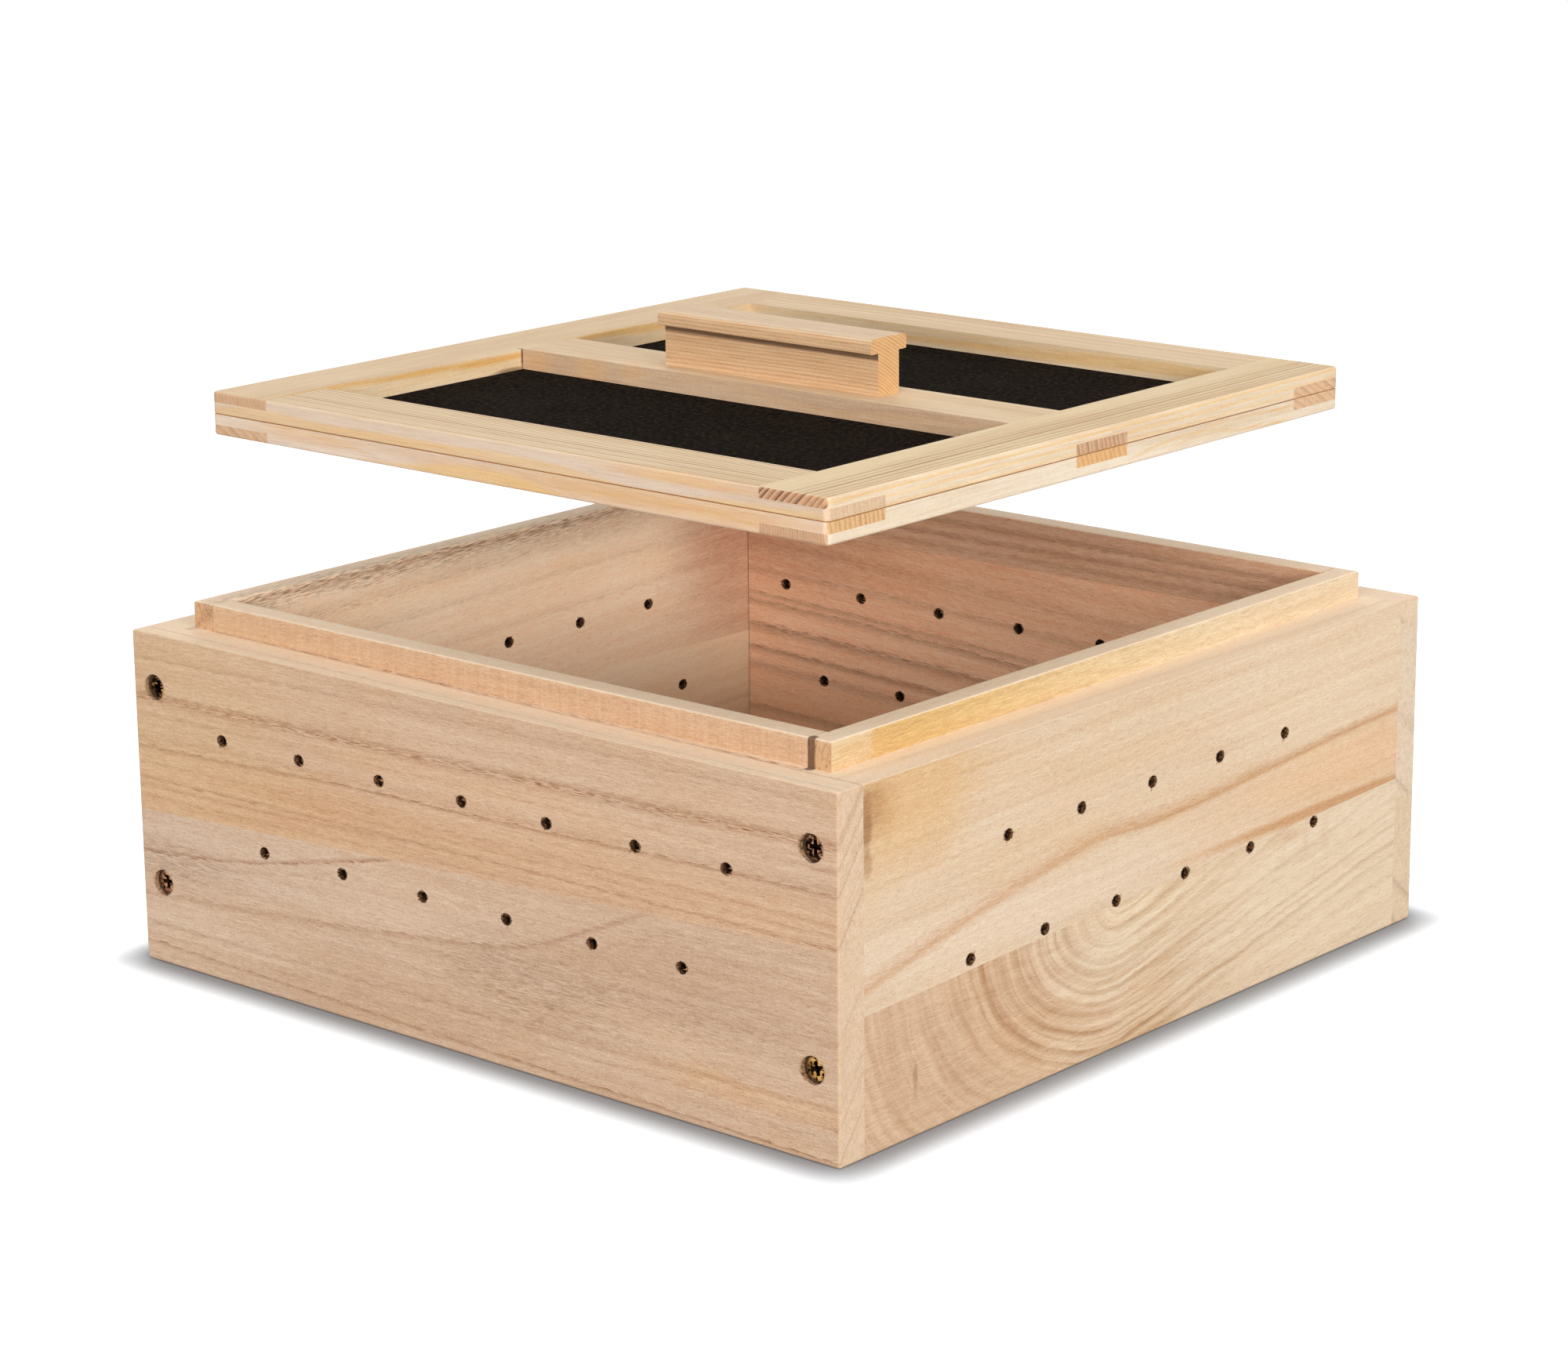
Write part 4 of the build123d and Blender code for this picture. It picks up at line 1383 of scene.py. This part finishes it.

# %% [markdown]
# ## Cloth
#
# The lid breathes through a dense black fleece, cut to the size of the frames and clamped tight between
# them. It is a sheet, so it is built as one: a fine grid with the slight waves of stretched cloth in the two
# openings, pinned flat where the rails hold it, and given its thickness. The nap is in the material: soft
# clumps of fibre, a little lighter than the ground, with a few brown specks. Its cut edge, where it shows in
# the slit between the frames, is brown, painted paler still as light against the shade of the slit.

# %% Cloth sheet
CLOTH_CELLS = 150
CLOTH_THICKNESS = 0.42
CLOTH_WAVE = 0.5
CLOTH_CORNER = 1.6
CLOTH_PINNED = 12.0
low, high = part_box("lid_cloth")
CLOTH_SIDE = high.x - low.x
CLOTH_HALF = CLOTH_SIDE / MM / 2
CLOTH_MIDDLE = (low.z + high.z) / 2 / MM
CLOTH_START = low.x / MM
RAIL_WIDTH = (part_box("upper_left_rail")[1].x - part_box("upper_left_rail")[0].x) / MM


def wave(x, y):
    """The slack of the cloth, in millimetres, gone where a rail or the crossbar holds it."""
    inner = CLOTH_HALF - RAIL_WIDTH
    hold = min(inner - abs(x), inner - abs(y), abs(y) - RAIL_WIDTH / 2) / CLOTH_PINNED
    free = max(0.0, min(1.0, hold))
    ripple = 0.6 * math.sin(x * 0.09 + 1.3) * math.sin(y * 0.13) + 0.4 * math.sin(x * 0.21 - y * 0.17)
    return -CLOTH_WAVE * free * free * (3 - 2 * free) * (0.7 + 0.3 * ripple)


def round_corner(x, y):
    """Pulls the four corners in to an arc, as the frames have it."""
    inner = CLOTH_HALF - CLOTH_CORNER
    past = Vector((max(abs(x) - inner, 0.0), max(abs(y) - inner, 0.0)))
    if past.x > 0 and past.y > 0 and past.length > CLOTH_CORNER:
        past *= CLOTH_CORNER / past.length
        return math.copysign(inner + past.x, x), math.copysign(inner + past.y, y)
    return x, y


def make_cloth():
    line = [CLOTH_START + i * (CLOTH_SIDE / MM / CLOTH_CELLS) for i in range(CLOTH_CELLS + 1)]
    cut = [round_corner(x, y) for y in line for x in line]
    top = CLOTH_MIDDLE + CLOTH_THICKNESS / 2
    row = CLOTH_CELLS + 1
    starts = [j * row + i for j in range(CLOTH_CELLS) for i in range(CLOTH_CELLS)]
    mesh = bpy.data.meshes.new("cloth_sheet")
    mesh.from_pydata([(x * MM, y * MM, (top + wave(x, y)) * MM) for x, y in cut], [],
                     [(start, start + 1, start + row + 1, start + row) for start in starts])
    mesh.shade_smooth()
    cloth = new_object("cloth_sheet", mesh)
    thick = cloth.modifiers.new("thickness", "SOLIDIFY")
    thick.thickness = CLOTH_THICKNESS * MM
    thick.offset = -1.0
    return cloth


cloth = make_cloth()
print("cloth side in mm:", round(CLOTH_SIDE / MM, 1))

# %% Black fleece
FLEECE_DARK = srgb(10, 8, 7)
FLEECE_LIGHT = srgb(44, 36, 29)
FLEECE_CLOUD = srgb(50, 41, 33)
LINT_BROWN = srgb(98, 80, 58)
EDGE_BROWN_AND_LIGHT = srgb(226, 170, 105)
EDGE_REACH = (CLOTH_HALF - 2.0, CLOTH_HALF - 1.0)
NAP_DEPTH = 0.0004


def make_fleece():
    material, w, place = start_material("black_fleece")
    flat = place * (1.0, 1.0, 0.0)
    nap = w.noise(flat, (2.4, 2.4, 2.4), 4.0, 0.75)
    tone = w.mix(w.step(nap, 0.4, 0.68), FLEECE_DARK, FLEECE_LIGHT)
    tone = w.layer(tone, w.step(w.noise(flat, (26.0, 26.0, 26.0)), 0.4, 0.7), 0.15, FLEECE_CLOUD)
    tone = w.layer(tone, w.step(w.noise(flat, (1.2, 1.2, 1.2), 1.0), 0.66, 0.78), 0.5, LINT_BROWN)
    x, y, _ = w.split(w.math("ABSOLUTE", place))
    # The cut edge: its own brown, painted paler as light against the shade of the slit.
    tone = w.layer(tone, w.step(w.math("MAXIMUM", x, y), *EDGE_REACH), 0.95, EDGE_BROWN_AND_LIGHT)
    bump = w.get("ShaderNodeBump", 0, {"Strength": 0.8, "Distance": NAP_DEPTH, "Height": nap})
    w.surface(w.get("ShaderNodeBsdfPrincipled", 0, {
        "Base Color": tone, "Normal": bump, "Roughness": 0.95, "Specular IOR Level": 0.02,
    }))
    return material


cloth.data.materials.append(make_fleece())
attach(cloth, "lid")
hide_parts("lid_cloth")
print("cloth material:", cloth.data.materials[0].name)
